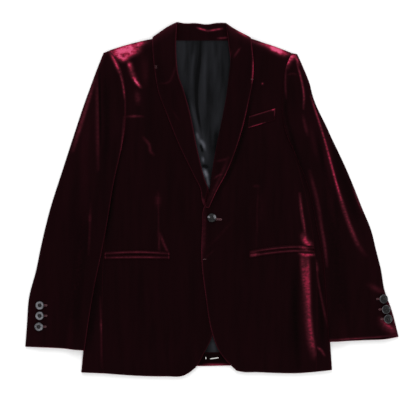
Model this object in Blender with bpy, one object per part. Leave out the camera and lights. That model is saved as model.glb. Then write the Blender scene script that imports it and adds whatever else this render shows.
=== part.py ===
"""A velvet dinner jacket with a shawl collar, laid flat on its back.

The panels lie on each other as they do on a table.  Each panel is a wall between an under and an
upper height, over an outline drawn from the cut.  Tables are in millimetres: X runs to the wearer's
left, Y to the collar and Z up from the floor.
"""
import math

import bmesh
import bpy
import numpy as np

MM = 0.001

# Cloth walls
BACK_WALL = 2.0
LINING_WALL = 1.0
TURN_UP_WALL = 1.4
FRONT_WALL = 2.6
LAPEL_WALL = 3.0
COLLAR_WALL = 2.5
UNDER_SLEEVE_WALL = 2.0
TOP_SLEEVE_WALL = 2.6
WELT_WALL = 1.9

# Gaps between pieces
SEAM = 0.3
LAYER_GAP = 0.4
LAPEL_GAP = 0.8
WELT_GAP = 0.5

# Width of the cloth where a panel turns down to the floor at a fold
FOLD_WALL = 2.6
FOLD_CLEAR = FOLD_WALL + SEAM

# Heights of the body
UNDER_FRONT = 4.2
SIDE_TOP = UNDER_FRONT + FRONT_WALL
FRONT_AIR = 2.4
CHEST_CANVAS = 1.6
SHOULDER_PAD = 7.0
LAP = FRONT_WALL + LAYER_GAP
NECK_LIFT = 3.1
LINING_SPREAD = 36.0
LAPEL_ROLL = 3.0
LAPEL_ROLL_WIDTH = 26.0
LINING_PLEAT = 0.5
LINING_PLEAT_WIDTH = 24.0

# Where the heights come in or fade out: start and run in millimetres
AIR_BESIDE_SLEEVE = (4.0, 50.0)
AIR_BESIDE_EDGE = (36.0, 40.0)
AIR_ABOVE_HEM = (-386.0, 70.0)
CANVAS_CLIMB = (-40.0, 160.0)
PAD_CLIMB = (195.0, 120.0)
LAP_FADE_ACROSS = (16.0, 34.0)
LAP_FADE_UP = (12.0, 60.0)
LAPEL_ROLL_CLIMB = (-10.0, 60.0)
NECK_MIDDLE = -22.0
NECK_CLIMB = (262.0, 56.0)
NECK_FADE = (60.0, 50.0)
NECK_SPREAD_RISE = 0.6
SLEEVE_SEAT_FADE_OUT = (15.0, 26.0)
SLEEVE_SEAT_FADE_UP = (133.0, 44.0)
SLEEVE_AIR_RUN = (0.0, 40.0)

# Heights of the sleeves
SLEEVE_SEAT = SIDE_TOP + LAYER_GAP
SLEEVE_AIR = 3.0
SLEEVE_HEAD = 6.5

# Folds and rounded edges: radius across the fold, height where the cloth turns down
SLEEVE_FOLD_RADIUS = 10.0
SLEEVE_FOLD_HEIGHT = 3.2
SIDE_FOLD_RADIUS = 6.0
SIDE_FOLD_HEIGHT = 3.0
SHOULDER_RADIUS = 24.0
SHOULDER_FOLD_HEIGHT = 5.0
ROLL_RADIUS = 5.0
ROLL_DROP = 3.5
FOLD_STEPS = (1.0, FOLD_WALL, FOLD_WALL + 0.1, FOLD_CLEAR + 0.1, 6.5)
FOLD_LINES = 3
FOLD_CLEAR_LINE = 4
FOLD_THINNING = 0.8
ROLL_INSET = 5.5

CENTRE_BACK = -20.0
ARMPIT = 109.0

# Side edges of the body, from the hem to the armpit
BODY_EDGE = {  # x, y
    "right": ((-286, -377), (-273, -243), (-261, -133), (-253, -56), (-250, 21), (-250, ARMPIT)),
    "left": ((263, -373), (257, -243), (248, -133), (239, -56), (232, 21), (226, ARMPIT)),
}
# Seams between front and side body, from the hem to the armpit
SIDE_SEAM = {  # x, y
    "right": ((-239, -381), (-241, -270), (-239, -140), (-226, -20), (-199, ARMPIT)),
    "left": ((231, -377), (233, -270), (230, -140), (214, -20), (181, ARMPIT)),
}
# Armhole seams, from the armpit to the shoulder point
ARMHOLE = {  # x, y
    "right": ((-199, ARMPIT), (-192, 150), (-190, 205), (-192, 250), (-200, 284), (-213, 314), (-225, 329)),
    "left": ((181, ARMPIT), (166, 142), (157, 185), (157, 241), (162, 285), (168, 303), (177, 323)),
}
# Inner folds of the sleeves, which lie on the body, from the cuff to the armpit
SLEEVE_FOLD = {  # x, y
    "right": ((-280, -332), (-269, -256), (-258, -191), (-243, -121), (-229, -45), (-214, 45), (-199, ARMPIT)),
    "left": ((265, -312), (258, -254), (252, -188), (245, -124), (233, -65), (214, 25), (181, ARMPIT)),
}
# Outer edges of the sleeves, from the cuff to the shoulder tip
SLEEVE_EDGE = {  # x, y
    "right": ((-410, -323), (-408, -280), (-403, -216), (-386, -155), (-377, -111), (-355, -23),
              (-329, 65), (-300, 153), (-267, 250), (-250, 294), (-237, 322)),
    "left": ((410, -300), (395, -243), (380, -199), (360, -111), (331, -23), (296, 65),
             (254, 153), (220, 230), (214, 254), (199, 294), (187, 319)),
}
CUFF = {  # x, y from the outer edge to the inner fold
    "right": ((-410, -323), (-345, -329), (-280, -332)),
    "left": ((410, -300), (340, -308), (265, -312)),
}
# Hems of the fronts, from the front corner to the side seam
HEM = {  # x, y
    "right": ((-49, -381), (-62, -387), (-100, -388), (-157, -387), (-239, -381)),
    "left": ((55, -375), (68, -379), (100, -381), (146, -384), (231, -377)),
}
# Front edges from the hem corner to the break, then the roll line under the lapel
FRONT_EDGE = {  # x, y
    "right": ((-49, -381), (-34, -368), (-16, -338), (0, -306), (6, -230), (10, -100), (6, -16), (-13, 24)),
    "left": ((55, -375), (32, -355), (13, -327), (3, -300), (-13, -211), (-22, -128), (-14, -30), (-1, 21)),
}
ROLL = {  # x, y from the break to the neck corner
    "right": ((-7, 18), (-15, 45), (-31, 110), (-49, 197), (-62, 242), (-72, 270), (-77, 307), (-78, 345),
              (-75, 388)),
    "left": ((-4, 18), (-1, 47), (8, 102), (25, 186), (34, 236), (39, 277), (42, 303), (38, 340), (31, 387)),
}
LAPEL_EDGE = {  # x, y from the break to the shoulder
    "right": ((-17, 8), (-38, 54), (-74, 126), (-102, 197), (-116, 234), (-126, 294), (-129, 329), (-130, 359)),
    "left": ((1, -3), (30, 52), (65, 146), (82, 217), (91, 265), (92, 298), (89, 330), (86, 360)),
}
SHOULDER = {  # x, y from the neck to the shoulder point
    "right": ((-84, 350), (-124, 352), (-145, 351), (-168, 346), (-197, 338), (-225, 329)),
    "left": ((47, 352), (80, 353), (97, 351), (111, 347), (138, 338), (177, 323)),
}
BACK_HEM_Y = -365.0
BACK_UNDER_ARM = (14.0, -3.0)
BACK_SHOULDER_POINT = (-7.0, -12.0)
BACK_BELOW_SHOULDER = 5.0
TURN_UP_TOP = -338.0
TURN_UP_INSET = 8.0
LINING_FOOT = -337.0
NECK_SEAM = 349.0
# Side edges of the lining
LINING_SIDE = {  # x, y from the foot to the neck
    "right": ((-250, LINING_FOOT), (-232, -133), (-222, 0), (-185, 120), (-170, 250), (-79, NECK_SEAM)),
    "left": ((232, LINING_FOOT), (215, -133), (205, 0), (150, 120), (135, 250), (40, NECK_SEAM)),
}
LINING_PLEAT_LINE = ((-31, 350), (-31, 205), (-19, 108), (-12, -337))

# Collar at the back neck: the fold line, and the section from the fall to the stand
COLLAR_FOLD = ((-74.4, 389), (-57, 387), (-36, 388), (-11, 384), (14, 388), (30, 389))  # x, y
COLLAR_FALL_EDGE = 326.0
COLLAR_STAND_EDGE = 351.0
COLLAR_HEIGHT = 8.7
COLLAR_BEND = 5.0
COLLAR_ARC_STEPS = 6

# Hip pocket welts and the breast welt: centre line from the front end to the side end, width
POCKET_LINE = {  # x, y
    "right": ((-93, -123.5), (-164, -122.5), (-235, -123.5)),
    "left": ((84, -120), (130, -113), (180, -108.5), (226, -110.5)),
}
POCKET_WELT_WIDTH = 7.4
POCKET_SLIT = 1.0
BREAST_WELT_BASE = ((81, 157), (139, 175))
BREAST_WELT_RISE = (1.6, 25.6)

# Buttons: turned profile as radius and height, and their places
BUTTON_RADIUS = 9.6
BUTTON_PROFILE = ((0.0, 0.0), (0.78, 0.0), (0.98, 1.3), (1.0, 2.2), (0.92, 3.2), (0.80, 3.3), (0.70, 2.7), (0.0, 2.5))
BUTTON_SIDES = 20
BUTTON_GAP = 0.4
MERGE_DISTANCE = 0.00002
FRONT_BUTTON = (0.7, -40.3)
CUFF_BUTTONS = {  # x, y
    "right": ((-378, -233), (-378, -256), (-380, -280)),
    "left": ((379, -219), (384, -242), (388.5, -263)),
}
CUFF_BUTTON_LEAN = {"right": -4.0, "left": 12.0}

# Grid densities
COLLAR_COLUMNS = 10
POCKET_ROWS = 10
BREAST_WELT_ROWS = 6
SEAM_ROWS = 12
ARMHOLE_ROWS = 11
UNDER_SLEEVE_ROWS = SEAM_ROWS + ARMHOLE_ROWS - 2
FRONT_COLUMNS = 11
SIDE_COLUMNS = 4
SLEEVE_COLUMNS = 8
BACK_COLUMNS = 8
LAPEL_ROWS = 22
LAPEL_COLUMNS = 5
RELAX_ROUNDS = 40
FINE_STEPS = 400

VELVET = (0.045, 0.006, 0.014)
SATIN = (0.012, 0.013, 0.015)
HORN = (0.035, 0.035, 0.038)


def ease(amount):
    """Smooth step from 0 to 1."""
    amount = np.clip(amount, 0.0, 1.0)
    return amount * amount * (3.0 - 2.0 * amount)


def ramp(value, start_and_run):
    """Smooth step that starts at a place and runs for a length."""
    start, run = start_and_run
    return ease((value - start) / run)


def smooth_line(points, count):
    """A smooth line through a few points, in count equal lengths."""
    points = np.array(points, float)
    reach = np.concatenate(([0.0], np.cumsum(np.linalg.norm(np.diff(points, axis=0), axis=1))))
    slope = np.gradient(points, reach, axis=0)
    along = np.linspace(0.0, reach[-1], FINE_STEPS)
    start = np.clip(np.searchsorted(reach, along, side="right") - 1, 0, len(points) - 2)
    span = (reach[start + 1] - reach[start])[:, None]
    t = (along[:, None] - reach[start][:, None]) / span
    fine = ((2 * t ** 3 - 3 * t ** 2 + 1) * points[start] + (t ** 3 - 2 * t ** 2 + t) * span * slope[start]
            + (3 * t ** 2 - 2 * t ** 3) * points[start + 1] + (t ** 3 - t ** 2) * span * slope[start + 1])
    length = np.concatenate(([0.0], np.cumsum(np.linalg.norm(np.diff(fine, axis=0), axis=1))))
    stops = np.linspace(0.0, length[-1], count + 1)
    return np.stack([np.interp(stops, length, fine[:, k]) for k in range(points.shape[1])], axis=1)


def joined(first, second):
    """Two lines that share a point, as one."""
    return np.concatenate((first, second[1:]))


def shifted(line, distance):
    """A line moved sideways, to the right of its direction."""
    way = np.gradient(line, axis=0)
    way /= np.linalg.norm(way, axis=1)[:, None]
    return line + distance * np.stack((way[:, 1], -way[:, 0]), axis=1)


def x_at(table, y):
    """Where a line that climbs along Y crosses the height y."""
    table = np.array(sorted(table, key=lambda row: row[1]), float)
    return np.interp(y, table[:, 1], table[:, 0])


def distance_to(line, plan):
    """Distance in plan from each grid point to a line."""
    start = np.array(line[:-1])
    way = np.array(line[1:]) - start
    offset = plan[..., None, :] - start
    t = np.clip((offset * way).sum(-1) / (way * way).sum(-1), 0.0, 1.0)
    return np.linalg.norm(offset - t[..., None] * way, axis=-1).min(-1)


def patch(bottom, top, left, right):
    """A plan grid between four lines: rows from bottom to top, columns from left to right."""
    across = np.linspace(0.0, 1.0, len(bottom))[None, :, None]
    up = np.linspace(0.0, 1.0, len(left))[:, None, None]
    rows = (1 - up) * bottom[None] + up * top[None]
    columns = (1 - across) * left[:, None] + across * right[:, None]
    corners = ((1 - up) * ((1 - across) * bottom[0] + across * bottom[-1])
               + up * ((1 - across) * top[0] + across * top[-1]))
    grid = rows + columns - corners
    for _ in range(RELAX_ROUNDS):
        around = grid[:-2, 1:-1] + grid[2:, 1:-1] + grid[1:-1, :-2] + grid[1:-1, 2:]
        grid[1:-1, 1:-1] = around / 4.0
    return grid


def with_fold_lines(grid, side):
    """Extra grid lines close to one side, where the cloth turns down."""
    if side in ("bottom", "top"):
        turned = with_fold_lines(grid.transpose(1, 0, 2), "left" if side == "bottom" else "right")
        return turned.transpose(1, 0, 2)
    if side == "right":
        return with_fold_lines(grid[:, ::-1], "left")[:, ::-1]
    way = grid[:, 1] - grid[:, 0]
    along = np.gradient(grid[:, 0], axis=0)
    along /= np.linalg.norm(along, axis=1)[:, None]
    across = np.abs(way[:, 0] * along[:, 1] - way[:, 1] * along[:, 0])
    lines = [grid[:, 0]]
    for number, step in enumerate(FOLD_STEPS, start=1):
        share = np.minimum(step / across, number / (len(FOLD_STEPS) + 1))
        lines.append(grid[:, 0] + way * share[:, None])
    return np.concatenate((np.stack(lines, axis=1), grid[:, 1:]), axis=1)


def rounded(top, foot, distance, radius):
    """Heights that curve down to a foot height at a folded edge."""
    inward = 1.0 - np.clip(distance / radius, 0.0, 1.0)
    return foot + (top - foot) * np.sqrt(1.0 - inward ** 2)


def neck_lift(x, y, spread=0.0):
    """How far the back is lifted at the neck by the collar's fall, with a wider spread for what lies on it."""
    climb = ramp(y, (NECK_CLIMB[0] - spread, NECK_CLIMB[1] + spread))
    fade = ramp(np.abs(x - NECK_MIDDLE), (NECK_FADE[0] + spread, NECK_FADE[1]))
    return (NECK_LIFT + NECK_SPREAD_RISE * spread / LINING_SPREAD) * climb * (1.0 - fade)


def padded_shoulder(y):
    """Share of the shoulder pad's thickness at a height up the front."""
    return ramp(y, PAD_CLIMB)


def front_inside(x, y):
    """One in the middle of a front, none at its edges and under the sleeves."""
    share = np.zeros_like(x)
    for side in ("right", "left"):
        outer = x_at(SLEEVE_FOLD[side] + ARMHOLE[side][1:], y)
        inner = x_at(FRONT_EDGE[side] + ROLL[side][1:], y)
        near_sleeve = ramp(outward(side) * (outer - x), AIR_BESIDE_SLEEVE)
        near_edge = ramp(outward(side) * (x - inner), AIR_BESIDE_EDGE)
        share = np.maximum(share, near_sleeve * near_edge)
    return share * ramp(y, AIR_ABOVE_HEM)


def front_under(x, y):
    """Height of the underside of the fronts."""
    return UNDER_FRONT + neck_lift(x, y, LINING_SPREAD) + FRONT_AIR * front_inside(x, y)


def front_over(x, y):
    """Height of the top of the fronts, before the lap and the shoulder fold."""
    canvas = CHEST_CANVAS * front_inside(x, y) * ramp(y, CANVAS_CLIMB)
    return front_under(x, y) + FRONT_WALL + canvas + SHOULDER_PAD * padded_shoulder(y)


def lap_rise(side, x, y):
    """How far the left front is lifted where it lies on the right front."""
    if side == "right":
        return np.zeros_like(x)
    return LAP * (1.0 - ramp(x, LAP_FADE_ACROSS)) * (1.0 - ramp(y, LAP_FADE_UP))


def sleeve_seat(side, x, y):
    """Height that a sleeve lies on: the floor, or the side of the body."""
    outside = outward(side) * (x - x_at(BODY_EDGE[side], np.minimum(y, ARMPIT)))
    return SLEEVE_SEAT * (1.0 - ramp(outside, SLEEVE_SEAT_FADE_OUT)) * (1.0 - ramp(y, SLEEVE_SEAT_FADE_UP))


def sleeve_under(side, x, y, to_turn):
    """Height of the underside of a top sleeve, away from its folds."""
    lying = sleeve_seat(side, x, y) + UNDER_SLEEVE_WALL + LAYER_GAP
    return lying + SLEEVE_AIR * ramp(to_turn, SLEEVE_AIR_RUN)


def sleeve_over(side, x, y, to_turn):
    """Height of the top of a sleeve, curved down at its folds."""
    over = sleeve_under(side, x, y, to_turn) + TOP_SLEEVE_WALL + SLEEVE_HEAD * padded_shoulder(y)
    return rounded(over, sleeve_seat(side, x, y) + SLEEVE_FOLD_HEIGHT, to_turn, SLEEVE_FOLD_RADIUS)


def stacked(plan, heights):
    """Plan points with their heights."""
    return np.concatenate((plan, heights[..., None]), axis=-1)


def wall(name, upper, under, material):
    """A closed cloth wall between an upper and an under grid of points."""
    rows, columns = upper.shape[:2]
    bm = bmesh.new()
    order = bm.verts.layers.int.new("order")
    bmesh.ops.create_grid(bm, x_segments=columns - 1, y_segments=rows - 1, size=1.0)
    bm.verts.ensure_lookup_table()
    for number, vert in enumerate(bm.verts):
        vert[order] = number
        vert.co = upper.reshape(-1, 3)[number] * MM
    grown = bmesh.ops.extrude_face_region(bm, geom=bm.faces[:], use_keep_orig=True)
    for vert in grown["geom"]:
        if isinstance(vert, bmesh.types.BMVert):
            vert.co = under.reshape(-1, 3)[vert[order]] * MM
    bmesh.ops.recalc_face_normals(bm, faces=bm.faces[:])
    bm.verts.layers.int.remove(order)
    return placed(name, bm, material)


def placed(name, bm, material):
    """A finished mesh as a named sub-part of the jacket."""
    mesh = bpy.data.meshes.new(name)
    bm.to_mesh(mesh)
    bm.free()
    mesh.shade_smooth()
    mesh.set_sharp_from_angle(angle=math.radians(40))
    mesh.materials.append(material)
    sub_part = bpy.data.objects.new(name, mesh)
    bpy.context.collection.objects.link(sub_part)
    sub_part.parent = bpy.data.objects["jacket"]
    return sub_part


def finish(name, colour, roughness, sheen):
    """A Principled material."""
    material = bpy.data.materials.new(name)
    material.use_nodes = True
    shader = material.node_tree.nodes["Principled BSDF"]
    shader.inputs["Base Color"].default_value = (*colour, 1.0)
    shader.inputs["Roughness"].default_value = roughness
    shader.inputs["Sheen Weight"].default_value = sheen
    return material


def seam_and_armhole(side):
    """The outer edge of a front, from the hem to the shoulder point."""
    return joined(smooth_line(SIDE_SEAM[side], SEAM_ROWS), smooth_line(ARMHOLE[side], ARMHOLE_ROWS))


def outward(side):
    """Turns a sideways shift into one away from the centre of the jacket, on lines that climb."""
    return -1.0 if side == "right" else 1.0


def make_front(side, material):
    """A front from the hem to the shoulder, with the roll line as its upper inner edge."""
    outer = seam_and_armhole(side)
    roll = shifted(np.array(ROLL[side][1:-1], float), outward(side) * ROLL_INSET)
    neck = np.array([SHOULDER[side][0]], float)
    inner = smooth_line(np.concatenate((np.array(FRONT_EDGE[side], float), roll, neck)), SEAM_ROWS + ARMHOLE_ROWS)
    bottom = smooth_line(HEM[side], FRONT_COLUMNS)
    top = smooth_line(SHOULDER[side], FRONT_COLUMNS)
    plan = with_fold_lines(patch(bottom, top, inner, outer), "top")
    x, y = plan[..., 0], plan[..., 1]
    lap = lap_rise(side, x, y)
    upper = rounded(front_over(x, y), SHOULDER_FOLD_HEIGHT, distance_to(top, plan), SHOULDER_RADIUS) + lap
    under = np.minimum(front_under(x, y) + lap, upper - FRONT_WALL)
    under[-FOLD_LINES:] = 0.0
    wall("front_" + side, stacked(plan, upper), stacked(plan, under), material)


def make_side(side, material):
    """A side body from its front seam to the fold at the side, where it turns down to the floor."""
    seam = shifted(smooth_line(SIDE_SEAM[side], SEAM_ROWS), outward(side) * SEAM)
    edge = smooth_line(BODY_EDGE[side], SEAM_ROWS)
    bottom = smooth_line((seam[0], edge[0]), SIDE_COLUMNS)
    top = smooth_line((seam[-1], edge[-1]), SIDE_COLUMNS)
    plan = with_fold_lines(patch(bottom, top, seam, edge), "right")
    x, y = plan[..., 0], plan[..., 1]
    upper = rounded(front_over(x, y), SIDE_FOLD_HEIGHT, distance_to(edge, plan), SIDE_FOLD_RADIUS)
    under = np.minimum(front_under(x, y), upper - FRONT_WALL * FOLD_THINNING)
    under[:, -FOLD_LINES:] = 0.0
    wall("side_" + side, stacked(plan, upper), stacked(plan, under), material)


def make_back(side, material):
    """Half of the back, flat on the floor, from the centre seam to the side."""
    away = outward(side)
    rows = SEAM_ROWS + ARMHOLE_ROWS
    centre_x = CENTRE_BACK + away * SEAM / 2
    side_edge = shifted(smooth_line(BODY_EDGE[side], SEAM_ROWS), -away * (FOLD_CLEAR + SEAM / 2))[:-1]
    under_arm = np.array([ARMHOLE[side][0]]) + (away * BACK_UNDER_ARM[0], BACK_UNDER_ARM[1])
    armhole = smooth_line(ARMHOLE[side], ARMHOLE_ROWS)[1:]
    armhole[-1] += (away * BACK_SHOULDER_POINT[0], BACK_SHOULDER_POINT[1])
    outer = np.concatenate((side_edge, under_arm, armhole))
    centre = smooth_line(((centre_x, BACK_HEM_Y), (centre_x, NECK_SEAM)), rows)
    bottom = smooth_line((centre[0], outer[0]), BACK_COLUMNS)
    shoulder = np.array(SHOULDER[side], float)[1:-1] - (0.0, BACK_BELOW_SHOULDER)
    corner = (ROLL[side][-2][0], NECK_SEAM - BACK_BELOW_SHOULDER)
    top = smooth_line(np.concatenate((centre[-1:], [corner], shoulder, outer[-1:])), BACK_COLUMNS)
    plan = patch(bottom, top, centre, outer)
    under = neck_lift(plan[..., 0], plan[..., 1])
    wall("back_" + side, stacked(plan, under + BACK_WALL), stacked(plan, under), material)


def make_lining(material):
    """The back lining on the inside of the back, with its pleat at the centre."""
    rows = SEAM_ROWS + ARMHOLE_ROWS
    columns = 2 * BACK_COLUMNS
    right = smooth_line(LINING_SIDE["right"], rows)
    left = smooth_line(LINING_SIDE["left"], rows)
    bottom = smooth_line((right[0], left[0]), columns)
    top = smooth_line((right[-1], left[-1]), columns)
    plan = patch(bottom, top, right, left)
    x, y = plan[..., 0], plan[..., 1]
    under = neck_lift(x, y, LINING_SPREAD) + BACK_WALL + SEAM
    pleat = LINING_PLEAT * (1.0 - ease(np.abs(x - x_at(LINING_PLEAT_LINE, y)) / LINING_PLEAT_WIDTH))
    wall("lining_back", stacked(plan, under + LINING_WALL + pleat), stacked(plan, under), material)


def make_turn_up(material):
    """The hem of the back, turned up on the inside below the lining."""
    columns = 2 * BACK_COLUMNS
    right_end = x_at(BODY_EDGE["right"], BACK_HEM_Y) + TURN_UP_INSET
    left_end = x_at(BODY_EDGE["left"], BACK_HEM_Y) - TURN_UP_INSET
    foot = BACK_HEM_Y + SEAM
    bottom = smooth_line(((right_end, foot), (left_end, foot)), columns)
    top = bottom + (0.0, TURN_UP_TOP - foot)
    plan = np.stack((bottom, (bottom + top) / 2, top))
    under = np.full(plan.shape[:2], BACK_WALL + SEAM)
    wall("back_hem_turnup", stacked(plan, under + TURN_UP_WALL), stacked(plan, under), material)


def make_lapel(side, material):
    """A lapel turned back on its front, from the break to the fold over the shoulder."""
    roll = smooth_line(ROLL[side], LAPEL_ROWS)
    edge = smooth_line(LAPEL_EDGE[side], LAPEL_ROWS)
    bottom = smooth_line((roll[0], edge[0]), LAPEL_COLUMNS)
    top = smooth_line((roll[-1], edge[-1]), LAPEL_COLUMNS)
    plan = with_fold_lines(with_fold_lines(patch(bottom, top, roll, edge), "left"), "top")
    x, y = plan[..., 0], plan[..., 1]
    to_roll = distance_to(roll, plan)
    crest = LAPEL_ROLL * (1.0 - ease(to_roll / LAPEL_ROLL_WIDTH)) * ramp(y, LAPEL_ROLL_CLIMB)
    lifted = front_over(x, y) + lap_rise(side, x, y) + LAPEL_GAP + crest
    over = lifted + LAPEL_WALL
    upper = rounded(over, over - ROLL_DROP, to_roll, ROLL_RADIUS)
    upper = rounded(upper, SHOULDER_FOLD_HEIGHT, distance_to(top, plan), SHOULDER_RADIUS)
    seat = UNDER_FRONT + neck_lift(x, y, LINING_SPREAD) + LINING_PLEAT
    under = np.minimum(lifted, upper - LAPEL_WALL * FOLD_THINNING)
    under[:, :FOLD_LINES] = np.minimum(seat, under)[:, :FOLD_LINES]
    under[-FOLD_LINES:] = 0.0
    wall("lapel_" + side, stacked(plan, upper), stacked(plan, under), material)


def make_collar(material):
    """The collar at the back neck: the fall under the back, a fold, and the stand inside the neck."""
    fold = smooth_line(COLLAR_FOLD, COLLAR_COLUMNS)
    half = COLLAR_HEIGHT / 2
    turn = np.linspace(-math.pi / 2, math.pi / 2, COLLAR_ARC_STEPS + 1)
    upper = []
    under = []
    for x, y in fold:
        fall = (COLLAR_FALL_EDGE, (COLLAR_FALL_EDGE + y) / 2)
        outer = [(fall_y, 0.0) for fall_y in fall]
        inner = [(fall_y, COLLAR_WALL) for fall_y in fall]
        for angle in turn:
            outer.append((y - COLLAR_BEND + COLLAR_BEND * math.cos(angle), half + half * math.sin(angle)))
            inner.append((y - COLLAR_BEND + (COLLAR_BEND - COLLAR_WALL) * math.cos(angle),
                          half + (half - COLLAR_WALL) * math.sin(angle)))
        for stand_y in ((y + COLLAR_STAND_EDGE) / 2, COLLAR_STAND_EDGE):
            outer.append((stand_y, COLLAR_HEIGHT))
            inner.append((stand_y, COLLAR_HEIGHT - COLLAR_WALL))
        upper.append([(x, *point) for point in outer])
        under.append([(x, *point) for point in inner])
    wall("collar_back", np.array(upper), np.array(under), material)


def sleeve_lines(side):
    """Outer edge, and inner fold with the armhole, of a sleeve, with rows that match the armhole's."""
    away = outward(side)
    armhole = shifted(smooth_line(ARMHOLE[side], ARMHOLE_ROWS), away * SEAM)
    fold = smooth_line(SLEEVE_FOLD[side][:-1] + (tuple(armhole[0]),), SEAM_ROWS)
    inner = joined(fold, armhole)
    edge = smooth_line(SLEEVE_EDGE[side], SEAM_ROWS + ARMHOLE_ROWS)
    return edge, inner


def make_sleeve(side, material):
    """A sleeve: the top sleeve turns down at its folds, with the under sleeve between them."""
    edge, inner = sleeve_lines(side)
    cuff = smooth_line((edge[0], CUFF[side][1], inner[0]), SLEEVE_COLUMNS)
    head = smooth_line((edge[-1], inner[-1]), SLEEVE_COLUMNS)
    plan = with_fold_lines(with_fold_lines(patch(cuff, head, edge, inner), "left"), "right")
    x, y = plan[..., 0], plan[..., 1]
    seat = sleeve_seat(side, x, y)
    to_turn = np.minimum(distance_to(joined(edge, head), plan), distance_to(inner[:SEAM_ROWS + 1], plan))
    upper = sleeve_over(side, x, y, to_turn)
    under = np.minimum(sleeve_under(side, x, y, to_turn), upper - TOP_SLEEVE_WALL * FOLD_THINNING)
    under[:, :FOLD_LINES] = seat[:, :FOLD_LINES]
    under[:SEAM_ROWS + 1, -FOLD_LINES:] = seat[:SEAM_ROWS + 1, -FOLD_LINES:]
    under[-1] = seat[-1]
    wall("sleeve_" + side + "_top", stacked(plan, upper), stacked(plan, under), material)

    below = plan[:UNDER_SLEEVE_ROWS, FOLD_CLEAR_LINE:-FOLD_CLEAR_LINE].copy()
    below[SEAM_ROWS + 2:, -1] = plan[SEAM_ROWS + 2:UNDER_SLEEVE_ROWS, -1]
    seat = sleeve_seat(side, below[..., 0], below[..., 1])
    wall("sleeve_" + side + "_under", stacked(below, seat + UNDER_SLEEVE_WALL), stacked(below, seat), material)


def strip_on_front(name, side, lower_line, upper_line, rows, material):
    """A welt that lies on a front, between two lines of points, with rounded long edges."""
    share = np.array((0.0, 0.12, 0.5, 0.88, 1.0))
    crown = np.array((0.55, 0.95, 1.0, 0.95, 0.55))
    low = smooth_line(lower_line, rows)
    high = smooth_line(upper_line, rows)
    plan = low[:, None] + (high - low)[:, None] * share[None, :, None]
    x, y = plan[..., 0], plan[..., 1]
    seat = front_over(x, y) + lap_rise(side, x, y) + WELT_GAP
    wall(name, stacked(plan, seat + WELT_WALL * crown), stacked(plan, seat), material)


def make_pockets(material):
    """Two welts on each hip, on either side of a slit, and the breast welt."""
    for side in ("right", "left"):
        middle = smooth_line(POCKET_LINE[side], POCKET_ROWS)
        for place, sign in (("upper", 1.0), ("lower", -1.0)):
            near = middle + (0.0, sign * POCKET_SLIT / 2)
            far = near + (0.0, sign * POCKET_WELT_WIDTH)
            strip_on_front(f"pocket_{side}_{place}_welt", side, near, far, POCKET_ROWS, material)
    base = np.array(BREAST_WELT_BASE, float)
    strip_on_front("breast_pocket_welt", "left", base, base + BREAST_WELT_RISE, BREAST_WELT_ROWS, material)


def make_button(name, x, y, height, lean, material):
    """A turned button with a raised rim."""
    bm = bmesh.new()
    profile = [bm.verts.new((share * BUTTON_RADIUS * MM, 0.0, rise * MM)) for share, rise in BUTTON_PROFILE]
    edges = [bm.edges.new(pair) for pair in zip(profile[:-1], profile[1:])]
    bmesh.ops.spin(bm, geom=profile + edges, cent=(0, 0, 0), axis=(0, 0, 1), angle=2 * math.pi,
                   steps=BUTTON_SIDES, use_merge=True)
    bmesh.ops.remove_doubles(bm, verts=bm.verts[:], dist=MERGE_DISTANCE)
    bmesh.ops.recalc_face_normals(bm, faces=bm.faces[:])
    button = placed(name, bm, material)
    button.location = (x * MM, y * MM, height * MM)
    button.rotation_euler = (0.0, math.radians(lean), 0.0)


def button_seat(surface, x, y, lean):
    """Height at which a leaning button clears the cloth below its foot."""
    turn = np.linspace(0.0, 2 * math.pi, BUTTON_SIDES)
    ring = np.array((0.0, 0.5, 1.0))[:, None] * BUTTON_PROFILE[1][0] * BUTTON_RADIUS
    across = ring * np.cos(turn)
    along = ring * np.sin(turn)
    cloth = surface(x + across, y + along)
    return float((cloth + across * math.tan(math.radians(lean))).max()) + BUTTON_GAP


def make_buttons(material):
    """The front button and three on each cuff."""
    def front_surface(x, y):
        return front_over(x, y) + lap_rise("left", x, y)

    x, y = FRONT_BUTTON
    make_button("front_button", x, y, button_seat(front_surface, x, y, 0.0), 0.0, material)
    for side in ("right", "left"):
        edge, inner = sleeve_lines(side)

        def sleeve_surface(x, y):
            plan = np.stack((x, y), axis=-1)
            return sleeve_over(side, x, y, np.minimum(distance_to(edge, plan), distance_to(inner, plan)))

        lean = CUFF_BUTTON_LEAN[side]
        for number, (x, y) in enumerate(CUFF_BUTTONS[side], start=1):
            height = button_seat(sleeve_surface, x, y, lean)
            make_button(f"cuff_{side}_button_{number}", x, y, height, lean, material)


def main():
    """Make every piece of the jacket."""
    for leftover in list(bpy.data.objects):
        bpy.data.objects.remove(leftover)
    bpy.context.collection.objects.link(bpy.data.objects.new("jacket", None))
    velvet = finish("velvet", VELVET, 0.9, 1.0)
    satin = finish("lining_satin", SATIN, 0.35, 0.0)
    horn = finish("button_horn", HORN, 0.4, 0.0)
    for side in ("right", "left"):
        make_front(side, velvet)
        make_side(side, velvet)
        make_back(side, velvet)
        make_lapel(side, velvet)
        make_sleeve(side, velvet)
    make_lining(satin)
    make_turn_up(velvet)
    make_collar(velvet)
    make_pockets(velvet)
    make_buttons(horn)


main()
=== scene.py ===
"""A velvet dinner jacket with a shawl collar, laid flat: its cloth, lining, buttons and stitching.

Tables are in millimetres, in the frame of the solids: X runs to the wearer's left, Y to the collar and
Z up from the floor. Each panel is a closed cloth wall between an under and an upper height.
"""
import math
from functools import partial

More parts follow.
